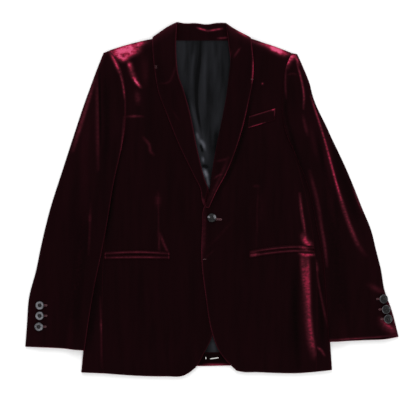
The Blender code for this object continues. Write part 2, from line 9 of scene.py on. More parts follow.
import bmesh
import bpy
import numpy as np
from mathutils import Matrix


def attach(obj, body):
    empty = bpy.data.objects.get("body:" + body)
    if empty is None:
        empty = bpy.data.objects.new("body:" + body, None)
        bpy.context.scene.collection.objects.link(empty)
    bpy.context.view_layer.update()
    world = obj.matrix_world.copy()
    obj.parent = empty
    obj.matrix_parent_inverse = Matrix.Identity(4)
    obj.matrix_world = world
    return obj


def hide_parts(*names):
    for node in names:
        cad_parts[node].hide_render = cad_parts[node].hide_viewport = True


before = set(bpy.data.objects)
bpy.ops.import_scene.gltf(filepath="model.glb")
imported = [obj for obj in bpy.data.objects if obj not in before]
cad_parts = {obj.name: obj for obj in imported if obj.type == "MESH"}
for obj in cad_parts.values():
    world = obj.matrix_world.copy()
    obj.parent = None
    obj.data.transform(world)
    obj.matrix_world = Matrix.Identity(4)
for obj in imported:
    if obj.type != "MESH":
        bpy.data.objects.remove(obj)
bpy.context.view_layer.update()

MM = 0.001
SIDES = ("right", "left")

# Cloth walls and gaps of the solids
BACK_WALL = 2.0
LINING_WALL = 1.0
TURN_UP_WALL = 1.4
FRONT_WALL = 2.6
LAPEL_WALL = 3.0
COLLAR_WALL = 2.5
UNDER_SLEEVE_WALL = 2.0
TOP_SLEEVE_WALL = 2.6
WELT_WALL = 1.9
SEAM = 0.3
SEWN = 0.02
LAYER_GAP = 0.4
LAPEL_GAP = 0.8
WELT_GAP = 0.5
FOLD_CLEAR = 2.9

# Heights of the body and the sleeves
UNDER_FRONT = 4.2
FRONT_AIR = 2.4
CHEST_CANVAS = 1.6
SHOULDER_PAD = 7.0
LAP = FRONT_WALL + LAYER_GAP
NECK_LIFT = 3.1
LINING_SPREAD = 36.0
LAPEL_ROLL = 3.0
LAPEL_ROLL_WIDTH = 26.0
LINING_PLEAT = 0.5
LINING_PLEAT_WIDTH = 24.0
SLEEVE_SEAT = UNDER_FRONT + FRONT_WALL + LAYER_GAP
SLEEVE_AIR = 3.0
SLEEVE_HEAD = 6.5

# Where the heights come in or fade out: start and run
AIR_BESIDE_SLEEVE = (4.0, 50.0)
AIR_BESIDE_EDGE = (36.0, 40.0)
AIR_ABOVE_HEM = (-386.0, 70.0)
CANVAS_CLIMB = (-40.0, 160.0)
PAD_CLIMB = (195.0, 120.0)
LAP_FADE_ACROSS = (16.0, 34.0)
LAP_FADE_UP = (12.0, 60.0)
LAPEL_ROLL_CLIMB = (-10.0, 60.0)
NECK_MIDDLE = -22.0
NECK_CLIMB = (262.0, 56.0)
NECK_FADE = (60.0, 50.0)
NECK_SPREAD_RISE = 0.6
SLEEVE_SEAT_FADE_OUT = (15.0, 26.0)
SLEEVE_SEAT_FADE_UP = (100.0, 110.0)
SLEEVE_AIR_RUN = (0.0, 40.0)

# Folds: radius across the fold, height where the cloth turns down
SLEEVE_FOLD_RADIUS = 10.0
SLEEVE_FOLD_HEIGHT = 3.2
SIDE_FOLD_RADIUS = 6.0
SIDE_FOLD_HEIGHT = 3.0
SHOULDER_RADIUS = 24.0
SHOULDER_FOLD_HEIGHT = 5.0
ROLL_RADIUS = 5.0
ROLL_DROP = 3.5
ROLL_INSET = 5.5
LAPEL_POINT_ROWS = 3
LAPEL_TOP_BEND = 0.25
LAPEL_TOP_RISE = {"right": 2.0, "left": -1.5}
TUCK_HEIGHT = 7.0
TUCK_RUN = 7.0
TUCK_WALL = 0.1
FOLD_THINNING = 0.8

# Grid lines close to a folded edge and to a cut or sewn edge
FOLD_STEPS = (0.4, 1.2, 2.5, 2.6)
FOLD_LINES = len(FOLD_STEPS)
EDGE_STEPS = (0.3, 0.8, 1.6)

# How far the cloth curves down at a finished edge and at a seam: drop and radius
EDGE_ROUND = (1.7, 2.4)
SEAM_ROUND = (1.1, 2.6)
FLAT_SEAM_ROUND = (0.5, 2.6)

CENTRE_BACK = -20.0
ARMPIT = 109.0

BODY_EDGE = {  # x, y from the hem to the armpit
    "right": ((-287.5, -381.5), (-274, -243), (-261, -133), (-253, -56), (-250, 21), (-250, ARMPIT)),
    "left": ((266, -376), (257, -243), (248, -133), (239, -56), (232, 21), (226, ARMPIT)),
}
SIDE_SEAM = {  # x, y from the hem to the armpit
    "right": ((-239, -383.5), (-241, -270), (-239, -140), (-226, -20), (-199, ARMPIT)),
    "left": ((231, -380), (233, -270), (230, -140), (214, -20), (181, ARMPIT)),
}
ARMHOLE = {  # x, y from the armpit to the shoulder point
    "right": ((-199, ARMPIT), (-192, 150), (-190, 205), (-192, 250), (-200, 284), (-213, 314), (-225, 329)),
    "left": ((181, ARMPIT), (166, 142), (157, 185), (157, 241), (162, 285), (168, 303), (177, 323)),
}
SLEEVE_FOLD = {  # x, y from the cuff to the armpit
    "right": ((-280, -332.5), (-269, -256), (-258, -191), (-243, -121), (-229, -45), (-214, 45),
              (-199, ARMPIT)),
    "left": ((259, -313.5), (255, -254), (251, -188), (245, -124), (233, -65), (214, 25), (181, ARMPIT)),
}
SLEEVE_EDGE = {  # x, y from the cuff to the shoulder tip
    "right": ((-411, -325), (-407.5, -280), (-402.5, -216), (-386.6, -155), (-377.7, -111), (-356.5, -23),
              (-328.5, 65), (-300, 153), (-285.5, 197), (-266.5, 250), (-250, 294), (-238, 323.5)),
    "left": ((413, -303), (397.2, -243), (381.5, -199), (374, -155), (363, -111), (352, -67), (334, -23),
             (298.3, 65), (257, 153), (223, 230), (217, 254), (201.3, 294), (189, 321)),
}
CUFF = {  # x, y from the outer edge to the inner fold
    "right": ((-411, -325), (-345, -327.3), (-280, -332.5)),
    "left": ((413, -303), (388, -307.5), (340, -310), (259, -313.5)),
}
HEM = {  # x, y from the front corner to the side seam
    "right": ((-49, -382), (-62, -388.5), (-100, -390), (-157, -389), (-239, -383.5)),
    "left": ((55, -377.5), (68, -380.2), (100, -380.8), (146, -382.7), (190, -383), (231, -380)),
}
FRONT_EDGE = {  # x, y from the hem corner to the break
    "right": ((-49, -382), (-34, -369), (-16, -338), (0, -306), (6, -230), (10, -100), (6, -16), (-13, 24)),
    "left": ((55, -377.5), (32, -354.5), (13, -327), (3, -300), (-13, -211), (-22, -128), (-20.5, -60),
             (-18, -20), (-10, -4), (0, 22)),
}
ROLL = {  # x, y from the break to the neck corner
    "right": ((-9, -14), (-7, 4), (-6, 19), (-15, 45), (-31, 110), (-49, 197), (-62, 242), (-72, 270),
              (-77, 307), (-78, 345), (-75.5, 391.5)),
    "left": ((-14, -17), (-10, 1), (-5, 19), (-1, 47), (8, 102), (25, 186), (34, 236), (39, 277), (42, 303),
             (38, 340), (31.5, 389.5)),
}
LAPEL_EDGE = {  # x, y from the break to the shoulder
    "right": ((-16, -16), (-20.5, -4), (-24, 22), (-39, 53), (-74, 126), (-102, 197), (-116, 234),
              (-126, 294), (-129, 329), (-130, 358.5)),
    "left": ((-6, -19), (12, 20), (30, 53), (65, 146), (82, 217), (91, 265), (92, 298), (89, 330),
             (86.5, 357.5)),
}
SHOULDER = {  # x, y from the neck to the shoulder point
    "right": ((-84, 352), (-124, 355), (-145, 351.5), (-168, 346), (-197, 338), (-225, 329)),
    "left": ((47, 354), (80, 356.5), (97, 352), (111, 347), (138, 338), (177, 323)),
}
BACK_HEM_Y = -368.0
BACK_HEM_BEND = {"right": (-70.0, -367.5), "left": (45.0, -366.8)}
BACK_UNDER_ARM = (14.0, -3.0)
BACK_SHOULDER_POINT = (-7.0, -12.0)
BACK_BELOW_SHOULDER = 5.0
TURN_UP_TOP = -338.0
TURN_UP_INSET = 8.0
TURN_UP_ROWS = 10
# painted shade over the whole turned-up hem
TURN_UP_PAINTED_SHADE = -0.022
LINING_FOOT = -337.0
LINING_TOP = 353.0
NECK_SEAM = 349.0
LINING_SIDE = {  # x, y from the foot to the neck
    "right": ((-250, LINING_FOOT), (-232, -133), (-222, 0), (-185, 120), (-170, 250), (-79, LINING_TOP)),
    "left": ((232, LINING_FOOT), (215, -133), (205, 0), (150, 120), (135, 250), (40, LINING_TOP)),
}
LINING_PLEAT_LINE = ((-31, LINING_TOP), (-31, 205), (-19, 108), (-12, LINING_FOOT))
UNDER_SLEEVE_HEAD_GAP = 0.15
UNDER_SLEEVE_STEP = 3

# Collar at the back neck: its fold line, and the section from the fall to the stand
COLLAR_FOLD = ((-75, 391.5), (-57, 388.5), (-36, 389), (-11, 386.3), (14, 389.6), (31, 389.5))  # x, y
COLLAR_FALL_EDGE = 326.0
COLLAR_STAND_EDGE = 350.5
COLLAR_HEIGHT = 8.7
COLLAR_BEND = 5.0
COLLAR_FALL_STEPS = 8
COLLAR_TURN_STEPS = 17
COLLAR_STAND_STEPS = 20

# Pockets
POCKET_LINE = {  # x, y from the front end to the side end
    "right": ((-93, -123.5), (-164, -122.5), (-235, -123.5)),
    "left": ((84, -120), (130, -113), (180, -108.5), (226, -110.5)),
}
POCKET_WELT_WIDTH = 7.4
POCKET_SLIT = 1.0
POCKET_GAPE = {"right": 2.6, "left": 0.6}
BREAST_WELT_BASE = ((81, 157), (139, 175))
BREAST_WELT_RISE = (1.6, 25.6)

# Buttons: turned profile as share of the radius and height, their places, and their four holes
BUTTON_RADIUS = 9.6
BUTTON_PROFILE = (
    (0.0, 0.0), (0.5, 0.0), (0.78, 0.0), (0.93, 0.6), (0.99, 1.4), (1.0, 2.1), (0.975, 2.8), (0.92, 3.2),
    (0.86, 3.3), (0.80, 3.2), (0.75, 2.9), (0.70, 2.65), (0.6, 2.5), (0.5, 2.45), (0.42, 2.42), (0.36, 2.4),
    (0.30, 2.4), (0.25, 2.4), (0.2, 2.4), (0.15, 2.4), (0.1, 2.4), (0.05, 2.4), (0.0, 2.4))
BUTTON_SIDES = 64
BUTTON_WELD = 0.01
BUTTON_GAP = 0.4
BUTTON_FOOT = 0.78
FOOT_RINGS = (0.0, 0.5, 1.0)
FOOT_STEPS = 20
BUTTON_WELL = 0.45
BUTTON_WALL = 0.87
# Painted shade of a button's well, rim and wall, set apart for how each button faces the light, and painted
# gleams on its rim: angle, half width, strength
BUTTON_PAINTED_SHADE = {
    "front": (0.75, 0.7, 0.9, ((25.0, 32.0, 0.9), (165.0, 16.0, 0.8))),
    "right": (0.95, 0.0, 0.55, ()),
    "right_last": (0.85, 0.25, 0.6, ((0.0, 60.0, 0.5),)),
    "left": (0.98, 0.76, 0.25, ((15.0, 50.0, 0.2),)),
}
BUTTON_HOLE_PLACE = 1.75
BUTTON_HOLE_RADIUS = 1.0
BUTTON_HOLE_DEPTH = 1.5
BUTTON_HOLE_STEEPNESS = 4
SEWING_RADIUS = 0.45
SEWING_RISE = 0.35
SEWING_DIP = 0.7
SEWING_REACH = 1.15
SEWING_STEPS = 9
SEWING_STEEPNESS = 4
FRONT_BUTTON = (0.7, -40.3)
CUFF_BUTTONS = {  # x, y
    "right": ((-378, -233), (-378, -256), (-380, -280)),
    "left": ((379, -219), (384, -242), (388.5, -263)),
}
CUFF_BUTTON_LEAN = {"right": -4.0, "left": 12.0}

# Worked buttonholes: end beside the button and far end
FRONT_BUTTONHOLE = ((1.0, -42.5), (21.0, -43.8))
CUFF_BUTTONHOLES = {  # reach from a button's centre
    "right": (2.0, 14.5),
    "left": (-14.0, -2.0),
}
BUTTONHOLE_WIDTH = 2.6
BUTTONHOLE_CAP_STEPS = 9
BUTTONHOLE_SIDE_STEPS = 8
THREAD_RADIUS = 0.75
THREAD_SIDES = 8
THREAD_END = 0.55
THREAD_WELD = 0.01

# Creases and painted strokes of each piece: half widths to the left and right of a line, height, painted
# light (a highlight where above nought, painted shade where below), and the x, y points of the line
CREASES_AND_PAINTED_LIGHT = {
    "front_right": (
        (9.5, 9, 0, 1.05, (-217, 322), (-197, 327), (-164, 334)),
        (3.6, 4.6, 0, 0.6, (-168, 339), (-146, 346)),
        (5.3, 5.3, 0, 0.75, (-208, 318), (-193, 309), (-180, 317)),
        (5, 5.5, 0, 0.42, (-183, 317), (-172, 321), (-160, 328)),
        (4.6, 3.4, 1.2, 0.6, (-182, 300), (-178, 289)),
        (5.2, 4.4, 0.6, 0.26, (-180, 296), (-174, 276), (-165, 256)),
        (3.2, 2.2, 1.4, 0.85, (-172, 268), (-165, 257), (-157, 247)),
        (5.5, 5.5, 0.8, 0.09, (-164, 237), (-161, 212)),
        (1.8, 2.2, -1.4, 0.12, (-187, 183), (-170, 184), (-151, 183)),
        (2, 2.2, 0, 0.14, (-177, 183.5), (-166, 184)),
        (2.6, 3.2, 1.1, 0.1, (-149, 136), (-137, 121), (-132, 103), (-127, 99)),
        (1.4, 1.4, -0.8, 0.04, (-117, 21), (-117, -34), (-113, -113)),
        (6, 6, 0.4, 0.05, (-118, 10), (-118, -14)),
        (6, 3, 0, -0.035, (-194, 140), (-208, 85), (-222, 0), (-235, -80), (-243, -118)),
        (1.8, 2.4, 1.3, 0.15, (-112, -75), (-107, -91), (-94, -120)),
        (1.5, 1.5, 0, 0.07, (-116.5, -64), (-116, -92), (-115, -117)),
        (6.6, 6.6, 0.6, 0.03, (-146, 311), (-144, 252)),
    ),
    "front_left": (
        (4.6, 4, 0, 0.34, (92, 347), (124, 337), (157, 323), (180, 319)),
        (7, 6, 0, 0.85, (126, 337), (142, 329), (160, 320)),
        (1.7, 1.7, 0.4, 0.5, (111, 255), (112.5, 254)),
        (4, 4.4, 0, -0.024, (1, -18), (17, 18), (36, 52), (70, 145), (87, 216), (95, 262)),
        (2.6, 2.6, 0, 0.04, (92, 30), (105, 29)),
        (1.5, 1.5, -0.6, 0.026, (102, 30), (101, -34), (99, -105)),
        (6, 7, 0, 0.011, (106, 22), (110, -18), (103, -58)),
        (2.8, 2.8, 0.5, 0.012, (-8, -105), (19, -78), (47, -45)),
        (2.2, 2.2, 0.5, 0.018, (-14, -129), (6, -111)),
        (3, 2.4, 0.8, 0.07, (-15, -22), (-16.5, -70), (-19, -125)),
        (2.4, 2, 1, 0.34, (194, 13), (198, -24), (204, -62), (207, -84)),
        (6, 5, 1.2, 0.55, (201, -80), (208, -94), (221, -104)),
        (2.4, 2.8, 0.4, 0.55, (194, -118), (206, -121.5), (227, -121.5)),
        (3.4, 9.5, 1.6, 0.4, (212, -118), (214, -199), (216, -264)),
        (3.6, 8.5, 1.4, 0.36, (216, -246), (221, -303), (228, -342)),
        (4.6, 3.6, 0.4, 0.2, (198, -112), (201, -156), (206, -206)),
        (7, 9, -1, -0.024, (188, -136), (184, -210), (186, -290), (191, -362)),
    ),
    "side_left": (
        (1.6, 2.2, 1, 0.28, (231, -324), (240, -330), (250, -344)),
        (2.2, 2.2, 0.6, 0.1, (230, -150), (244, -228), (256, -280)),
        (3.4, 3.8, 0, 0.14, (230, -136), (233, -162)),
        (5, 6, 0, -0.02, (238, -140), (241, -230), (247, -330)),
    ),
    "side_right": (
        (2, 2, 0.6, 0.06, (-245, -215), (-243, -283), (-242, -371)),
        (2.6, 2.6, 0, 0.13, (-243, -266), (-242, -292)),
        (8, 12, 0, -0.02, (-250, -150), (-258, -220), (-272, -330)),
    ),
    "sleeve_left": (
        (3.6, 6.4, 0.6, 0.72, (163, 294), (169, 308), (182, 317)),
        (3, 2.8, 0.6, 0.36, (175, 318), (186, 311), (191, 296)),
        (1.8, 1.8, -0.9, 0.05, (167, 274), (178, 277), (190, 275)),
        (1.8, 2.2, 0, 0.085, (164, 292), (162.5, 258), (165, 222)),
        (2.4, 1.6, 1.4, 0.3, (187, 300), (196, 268), (203, 228), (202, 200)),
        (3.4, 3, 1.2, 0.075, (201, 184), (205, 164), (211, 141)),
        (1.8, 2.2, 1.6, 0.36, (219, 228), (238.5, 166), (254, 113)),
        (2, 2.4, 2, 0.55, (249, 131), (267, 65), (278, 25), (286, -1)),
        (3.2, 4.2, 2.2, 0.26, (277, 29), (291.5, -19), (305, -58), (322, -98)),
        (4, 5, 1.2, 0.06, (305, -58), (322, -98), (340, -124)),
        (2, 2, 0, 0.2, (312, 28), (322, 0), (334, -30)),
        (3.2, 3.8, 1.5, 0.085, (216, 62), (230, 8), (243, -58)),
        (2.6, 3, 1.2, 0.15, (238, -40), (248, -95), (254, -146)),
        (5, 5.4, 0.8, 0.09, (347, -188), (364, -197), (378, -204)),
        (4, 5, 1, 0.22, (371, -262), (386, -274), (404, -289)),
        (8, 8, 0, 0.14, (374, -272), (393, -285), (407, -298)),
        (2.4, 2.4, 0, 0.14, (380, -204), (395, -243), (410, -298)),
        (1.6, 1.6, 0.4, 0.24, (259, -309), (340, -305), (386, -301.8), (408, -298.6)),
        (1.4, 1.4, -0.6, -0.3, (328, -307.4), (362, -306.4), (394, -303.2)),
        (5.3, 5.3, -1.2, 0.02, (219, 164), (234, 87)),
        (11, 11, 0, -0.022, (260, 20), (267, -56), (276, -133), (285, -243), (289, -308)),
        (5, 2.6, 0, -0.02, (164, 250), (163, 190), (178, 128), (204, 56)),
        (6, 6, 0, -0.015, (226, 150), (244, 90), (260, 30), (276, -30)),
        (8, 8, 0, -0.015, (264, 130), (284, 70), (306, 2), (332, -74)),
    ),
    "sleeve_right": (
        (2, 3.4, 0.8, 0.62, (-222, 322), (-211, 302), (-202, 280)),
        (1.5, 2, 0.6, 0.32, (-202, 280), (-195, 255), (-191, 222)),
        (1.8, 1.8, 0.6, 0.12, (-193, 182), (-196, 129), (-207, 63), (-219, -1)),
        (2, 4.6, -1.2, 0.09, (-252, 280), (-250, 175), (-248, 65)),
        (2.2, 2.6, -1.2, -0.03, (-246, 285), (-245, 200), (-243, 120)),
        (6, 6, 0, -0.012, (-236, 262), (-230, 160), (-234, 62)),
        (3.6, 4.6, 0.8, 0.19, (-258, 262), (-273, 212), (-290, 157), (-305, 108)),
        (2.2, 2, -0.9, 0.05, (-266, -8), (-267, -45), (-270, -122)),
        (2.6, 2.6, 0.4, 0.06, (-267, -32), (-267, -50)),
        (11, 11, 0, -0.022, (-277, 20), (-281, -56), (-289, -133), (-302, -243), (-308, -322)),
    ),
    "back_right": (
        (10, 7, 0, 0.28, (-196, 296), (-168, 312), (-128, 322)),
        (5, 6.5, 0, 0.1, (-150, 214), (-134, 150), (-126, 92)),
        (6, 5, 0, 0.06, (-92, 44), (-84, -40), (-90, -116)),
        (8, 11, 0, 0.1, (-226, -146), (-234, -232), (-240, -318)),
    ),
    "back_left": (
        (8, 9.5, 0, 0.24, (152, 288), (120, 310), (86, 322)),
        (6, 5, 0, 0.08, (118, 178), (104, 120), (108, 66)),
        (6.5, 5.5, 0, 0.05, (38, -16), (46, -90), (39, -158)),
        (10, 8, 0, 0.12, (196, -138), (207, -220), (212, -306)),
    ),
    "sleeve_right_under": (
        (8, 7, 0, 0.14, (-352, -44), (-338, 18), (-316, 84)),
        (7, 8, 0, 0.08, (-318, -236), (-306, -172)),
    ),
    "sleeve_left_under": (
        (7, 8, 0, 0.12, (322, -66), (302, 0), (276, 62)),
        (8, 7, 0, 0.08, (318, -244), (308, -186)),
    ),
    "lapel_right": (
        (2.4, 1.8, 1.2, 0.035, (-113, 254), (-96, 256), (-76, 294)),
        (3, 3, 0.3, 0.1, (-20, 4), (-15, -12)),
        (2.2, 2.2, 0.4, 0.012, (-87, 197), (-69, 170)),
    ),
    "lapel_left": (
        (1.6, 2, 0.8, 0.12, (49, 312), (63, 332)),
        (1.6, 1.6, 0, 0.36, (91, 304), (91, 282), (89, 256)),
        (2.6, 2.4, 0, 0.4, (56, 369), (68, 363), (82, 355)),
        (2.2, 2.2, 0.8, 0.06, (43, 324), (38, 302)),
        (1.9, 1.9, 0.6, 0.075, (24, 56), (14, 52), (6, 46)),
        (3.4, 3, 0.3, 0.05, (-8, -10), (4, 17), (21, 53), (37, 92)),
        (2.4, 2.4, 0.5, 0.045, (10, 84), (22, 86), (36, 90)),
    ),
    "collar": (
        (1.8, 1.6, 0.6, 0.5, (-32, 378), (-19, 374), (-8, 371)),
        (1.8, 1.6, 0.6, 0.45, (-8, 371), (6, 373), (24, 376)),
        (1.7, 1.7, 0, 0.24, (13, 355), (24, 355.6), (36, 357)),
    ),
    "turn_up": (
        (2.6, 2.6, 0, 0.34, (-18, -365), (8, -364.6), (34, -364.4)),
    ),
    "lining": (
        (2.2, 2.6, -0.8, -0.12, (-24, 350), (-26, 305), (-31, 265), (-33, 215), (-25, 160), (-19, 127)),
        (3.4, 4.4, 0.6, 0.06, (-36, 338), (-42, 290), (-44, 236)),
        (4, 5, -0.4, -0.02, (-52, 330), (-57, 270), (-50, 222)),
        (5, 6, 0.5, 0.025, (-14, 340), (-16, 260), (-12, 190)),
        (3.8, 4.6, -0.4, -0.022, (11, 351), (10, 310)),
        (5, 5, -0.5, -0.025, (24, 330), (22, 260), (12, 190)),
        (2.6, 3.5, 0.7, 0.05, (-45, 215), (-32, 157)),
        (2.2, 2.8, 0.9, 0.36, (-33, 147), (-28, 134)),
        (3, 3.6, 1, 0.42, (-28, 133), (-19, 124), (-15, 110)),
        (1.8, 1.8, -0.8, -0.22, (-24, 122), (-20, 106)),
        (2.2, 2.6, 0.9, 0.45, (-20, 93), (-17, 83)),
        (3.4, 3.8, 0.9, 0.8, (-17, 66), (-13, 59), (-9, 48)),
        (2.2, 2.2, 0.6, 0.5, (-9, 48), (-6, 28)),
        (2.2, 2.2, -0.6, -0.2, (-20, 74), (-8, 72)),
        (6, 6, 0.5, 0.05, (-30, 165), (-17, 125), (-6, 76)),
        (5.6, 5.6, -0.8, -0.06, (12, 160), (8, 96)),
        (7, 8, 0.5, -0.02, (-6, 208), (-1, 109)),
        (2, 2, -0.8, -0.12, (-16, 105), (-22, 118)),
        (5, 9, 0, -0.05, (-64, 262), (-50, 198), (-32, 120)),
        (5, 7, 0.3, 0.07, (4, -312), (8, -337)),
        (14, 14, 0, -0.02, (0, 300), (2, 190)),
    ),
    "pocket_right": (
        (1.3, 1.3, 0, 0.24, (-93, -118.8), (-164, -115.6), (-235, -118.6)),
        (1.3, 1.3, 0, 0.24, (-93, -127.6), (-164, -126.8), (-235, -128)),
        (1.3, 1.3, 0, 0.2, (-93.6, -117), (-93.6, -131)),
        (1.3, 1.3, 0, 0.16, (-234.4, -117), (-234.4, -131)),
    ),
    "pocket_left": (
        (1.2, 1.2, 0, 0.2, (84, -115.6), (130, -108.6), (180, -104.4), (226, -106.2)),
        (1.2, 1.2, 0, 0.2, (84, -124.2), (130, -117.4), (180, -113), (226, -114.6)),
        (4, 4, 0, 0.25, (84, -122), (102, -120)),
        (4, 4, 0, 0.3, (196, -105), (214, -111)),
    ),
    "breast_pocket": (
        (1.3, 1.3, 0, 0.2, (83, 181.6), (112, 190.6), (140, 199.6)),
        (2.2, 2.2, 0, 0.5, (132, 197), (140, 199.4)),
        (1.3, 1.3, 0, 0.36, (81, 157.4), (98, 162.7), (118, 168.8)),
        (1.1, 1.1, 0, 0.18, (139.4, 198), (138.6, 184)),
    ),
}
CREASE_STEPS = 24
CREASE_TAPER = 0.3
CREASE_END_SHARE = 0.3

# Painted highlight along the edges, folds and seams of a piece, painted shade where below nought: share of
# it, and half width
EDGE_PAINTED_LIGHT = {
    "front_right": 0.1,
    "front_left": 0.2,
    "lapel_right": 0.11,
    "lapel_left": 0.3,
    "roll_right": 0.12,
    "roll_left": -0.12,
    "armhole_right": 0.13,
    "armhole_left": -0.04,
    "lapel_top_right": 0.1,
    "lapel_top_left": 0.35,
    "sleeve_fold_right": 0.08,
    "sleeve_fold_left": -0.05,
    "cuff_right": 0.4,
    "cuff_left": 0.38,
    "hem": 0.19,
    "back_hem": 0.52,
    "turn_up": 0.12,
    "collar": 0.1,
}
EDGE_PAINTED_LIGHT_WIDTH = 1.3
PATCH_LENGTHS = (17.0, 23.0, 41.0)
PATCH_PHASE = 1.0
PATCH_FLOOR = 0.25

# Small tacks of thread: x, y of both ends
EDGE_TACKS = (
    ((-124, 292), (-119, 292)), ((-124, 288), (-119, 288)), ((86, 264), (92, 263)),
    ((-19, -132), (-12, -131)),
)
EDGE_TACK_RADIUS = 0.5
EDGE_TACK_STEPS = 6
BASTING_TACKS = (((-12.6, -347.5), (-12.2, -352.0)), ((-3.0, -351.5), (16.0, -348.8)))
BASTING_RADIUS = 1.0
BASTING_STEPS = 8

# Grid densities
FINE = 2.4
LINING_GRID = 3.6
BACK_GRID = 5.0
RELAX_ROUNDS = 200
CURVE_STEPS = 400
DISTANCE_STEPS = 70
SHARP_ANGLE = 60.0

# Looks: values of the shader and of the fine grain, and rows of shades with linear colours; the velvet's row
# runs from painted shadow to painted highlight
GRAIN = {"Scale": 900.0, "Detail": 3.0, "Depth": 0.0003, "Strength": 0.5}
VELVET_LOOK = {"Roughness": 0.9, "Specular IOR Level": 0.0, "Sheen Weight": 0.05, "Sheen Roughness": 0.3,
               "Sheen Tint": (0.85, 0.12, 0.25, 1.0)}
VELVET_GRAIN = {"Scale": 700.0, "Detail": 2.0, "Depth": 0.0005, "Strength": 0.5}
# velvet: painted shadow, its own dark wine, then painted crimson highlights
VELVET_SHADE_TO_HIGHLIGHT = ((0.0, (0.0021, 0.0012, 0.0011)), (0.03, (0.0047, 0.0015, 0.0019)),
               (0.28, (0.053, 0.0076, 0.0128)), (0.63, (0.27, 0.015, 0.043)), (1.0, (0.53, 0.068, 0.152)))
SATIN_LOOK = {"Roughness": 0.5, "Specular IOR Level": 0.04, "Anisotropic": 0.4}
SATIN_GRAIN = {"Scale": 1500.0, "Detail": 1.0, "Depth": 0.0001, "Strength": 0.3}
# satin: painted shade up to a painted blue-grey shine
SATIN_SHADE_TO_SHINE = ((0.0, (0.0012, 0.0012, 0.0015)), (1.0, (0.13, 0.135, 0.16)))
HORN_LOOK = {"Roughness": 0.38, "Specular IOR Level": 0.15}
HORN_GRAIN = {"Scale": 400.0, "Detail": 4.0, "Depth": 0.0002, "Strength": 0.15}
HORN_SHADES = ((0.0, (0.006, 0.006, 0.0065)), (1.0, (0.205, 0.205, 0.225)))
THREAD_LOOK = {"Roughness": 0.7, "Specular IOR Level": 0.25, "Sheen Weight": 0.3}
THREAD_GRAIN = {"Scale": 1800.0, "Detail": 2.0, "Depth": 0.0003, "Strength": 0.6}
THREAD_SHADES = ((0.3, 0.55), (0.7, 1.0))  # position, share of the thread's colour
THREADS = (("dark_thread", (0.02, 0.012, 0.014)), ("mauve_thread", (0.095, 0.024, 0.032)),
           ("white_thread", (0.85, 0.85, 0.82)))
FLOOR_LOOK = {"Base Color": (0.93, 0.93, 0.93, 1.0), "Roughness": 0.9, "Specular IOR Level": 0.1}

# Noises: scale, detail and stretch, and what they are multiplied by and raised by
# this noise breaks up the velvet's painted highlights and shade
HIGHLIGHT_BREAKUP_NOISE = (230.0, 3.0, (0.6, 1.0, 1.0))
HIGHLIGHT_BREAKUP_SHARE = (1.9, 0.08)
STREAK_NOISE = (70.0, 4.0, (1.0, 0.12, 1.0))
STREAK_SHARE = (0.024, 0.023)
SPECKLE_SHARE = (0.9, 0.55)
# painted sheen in the velvet's colour where it is seen from the side
SIDE_SHEEN_BLEND = 0.3
SIDE_SHEEN_SHARE = 0.26
SATIN_NOISE = (30.0, 3.0, (1.0, 0.16, 1.0))
SATIN_SHARE = (0.26, -0.087)
WEAVE_SHARE = (0.1, -0.05)
HORN_NOISE = (180.0, 3.0, (1.0, 1.0, 1.0))
HORN_SHARE = 2.4

# Camera and light, in metres
CAMERA_LENS = 85.0
CAMERA_SENSOR = 36.0
PICTURE_WIDTH = 0.9152
PICTURE_CENTRE = (-0.0077, -0.0187)
CLOTH_PLANE = 0.010
FLOOR_SIZE = 40.0
STUDIO = {"Color": (1.0, 1.0, 1.0, 1.0), "Strength": 0.85}
LAMPS = (  # name, place, aim, size, power
    ("lamp_beyond_collar", (-0.3, 2.2, 1.5), (0.0, 0.1, 0.0), 1.6, 34.0),
    ("lamp_over_hem", (0.9, -1.8, 2.4), (0.0, 0.0, 0.0), 2.2, 22.0),
)


def ease(amount):
    """Smooth step from 0 to 1."""
    amount = np.clip(amount, 0.0, 1.0)
    return amount * amount * (3.0 - 2.0 * amount)


def ramp(value, start_and_run):
    """Smooth step that starts at a place and runs for a length."""
    start, run = start_and_run
    return ease((value - start) / run)


def blend(first, second, share):
    """From the first to the second by a share."""
    return (1.0 - share) * first + share * second


def lengths(points):
    """Length of a line up to each of its points."""
    return np.concatenate(([0.0], np.cumsum(np.linalg.norm(np.diff(points, axis=0), axis=1))))


def smooth_line(points, count):
    """A smooth line through a few points, in count equal lengths."""
    points = np.array(points, float)
    reach = lengths(points)
    slope = np.gradient(points, reach, axis=0)
    along = np.linspace(0.0, reach[-1], CURVE_STEPS)
    start = np.clip(np.searchsorted(reach, along, side="right") - 1, 0, len(points) - 2)
    span = (reach[start + 1] - reach[start])[:, None]
    t = (along[:, None] - reach[start][:, None]) / span
    fine = ((2 * t ** 3 - 3 * t ** 2 + 1) * points[start] + (t ** 3 - 2 * t ** 2 + t) * span * slope[start]
            + (3 * t ** 2 - 2 * t ** 3) * points[start + 1] + (t ** 3 - t ** 2) * span * slope[start + 1])
    length = lengths(fine)
    stops = np.linspace(0.0, length[-1], count + 1)
    return np.stack([np.interp(stops, length, column) for column in fine.T], axis=1)


def steps_along(points, step):
    """How many lengths of about one step fit along a line."""
    return max(2, round(lengths(points)[-1] / step))


def stepped(points, step):
    """A smooth line through a few points, in lengths of about one step."""
    return smooth_line(points, steps_along(points, step))


def alike(points, line):
    """A smooth line through a few points, with as many points as another line."""
    return smooth_line(points, len(line) - 1)


def joined(first, second):
    """Two lines that share a point, as one."""
    return np.concatenate((first, second[1:]))


def directions(line):
    """Unit vector along a line at each of its points."""
    way = np.gradient(line, axis=0)
    return way / np.linalg.norm(way, axis=1)[:, None]


def shifted(line, distance):
    """A line moved sideways, to the right of its direction."""
    way = directions(line)
    return line + distance * np.stack((way[:, 1], -way[:, 0]), axis=1)


def outward(side):
    """Turns a sideways shift into one away from the centre of the jacket, on lines that climb."""
    return -1.0 if side == "right" else 1.0


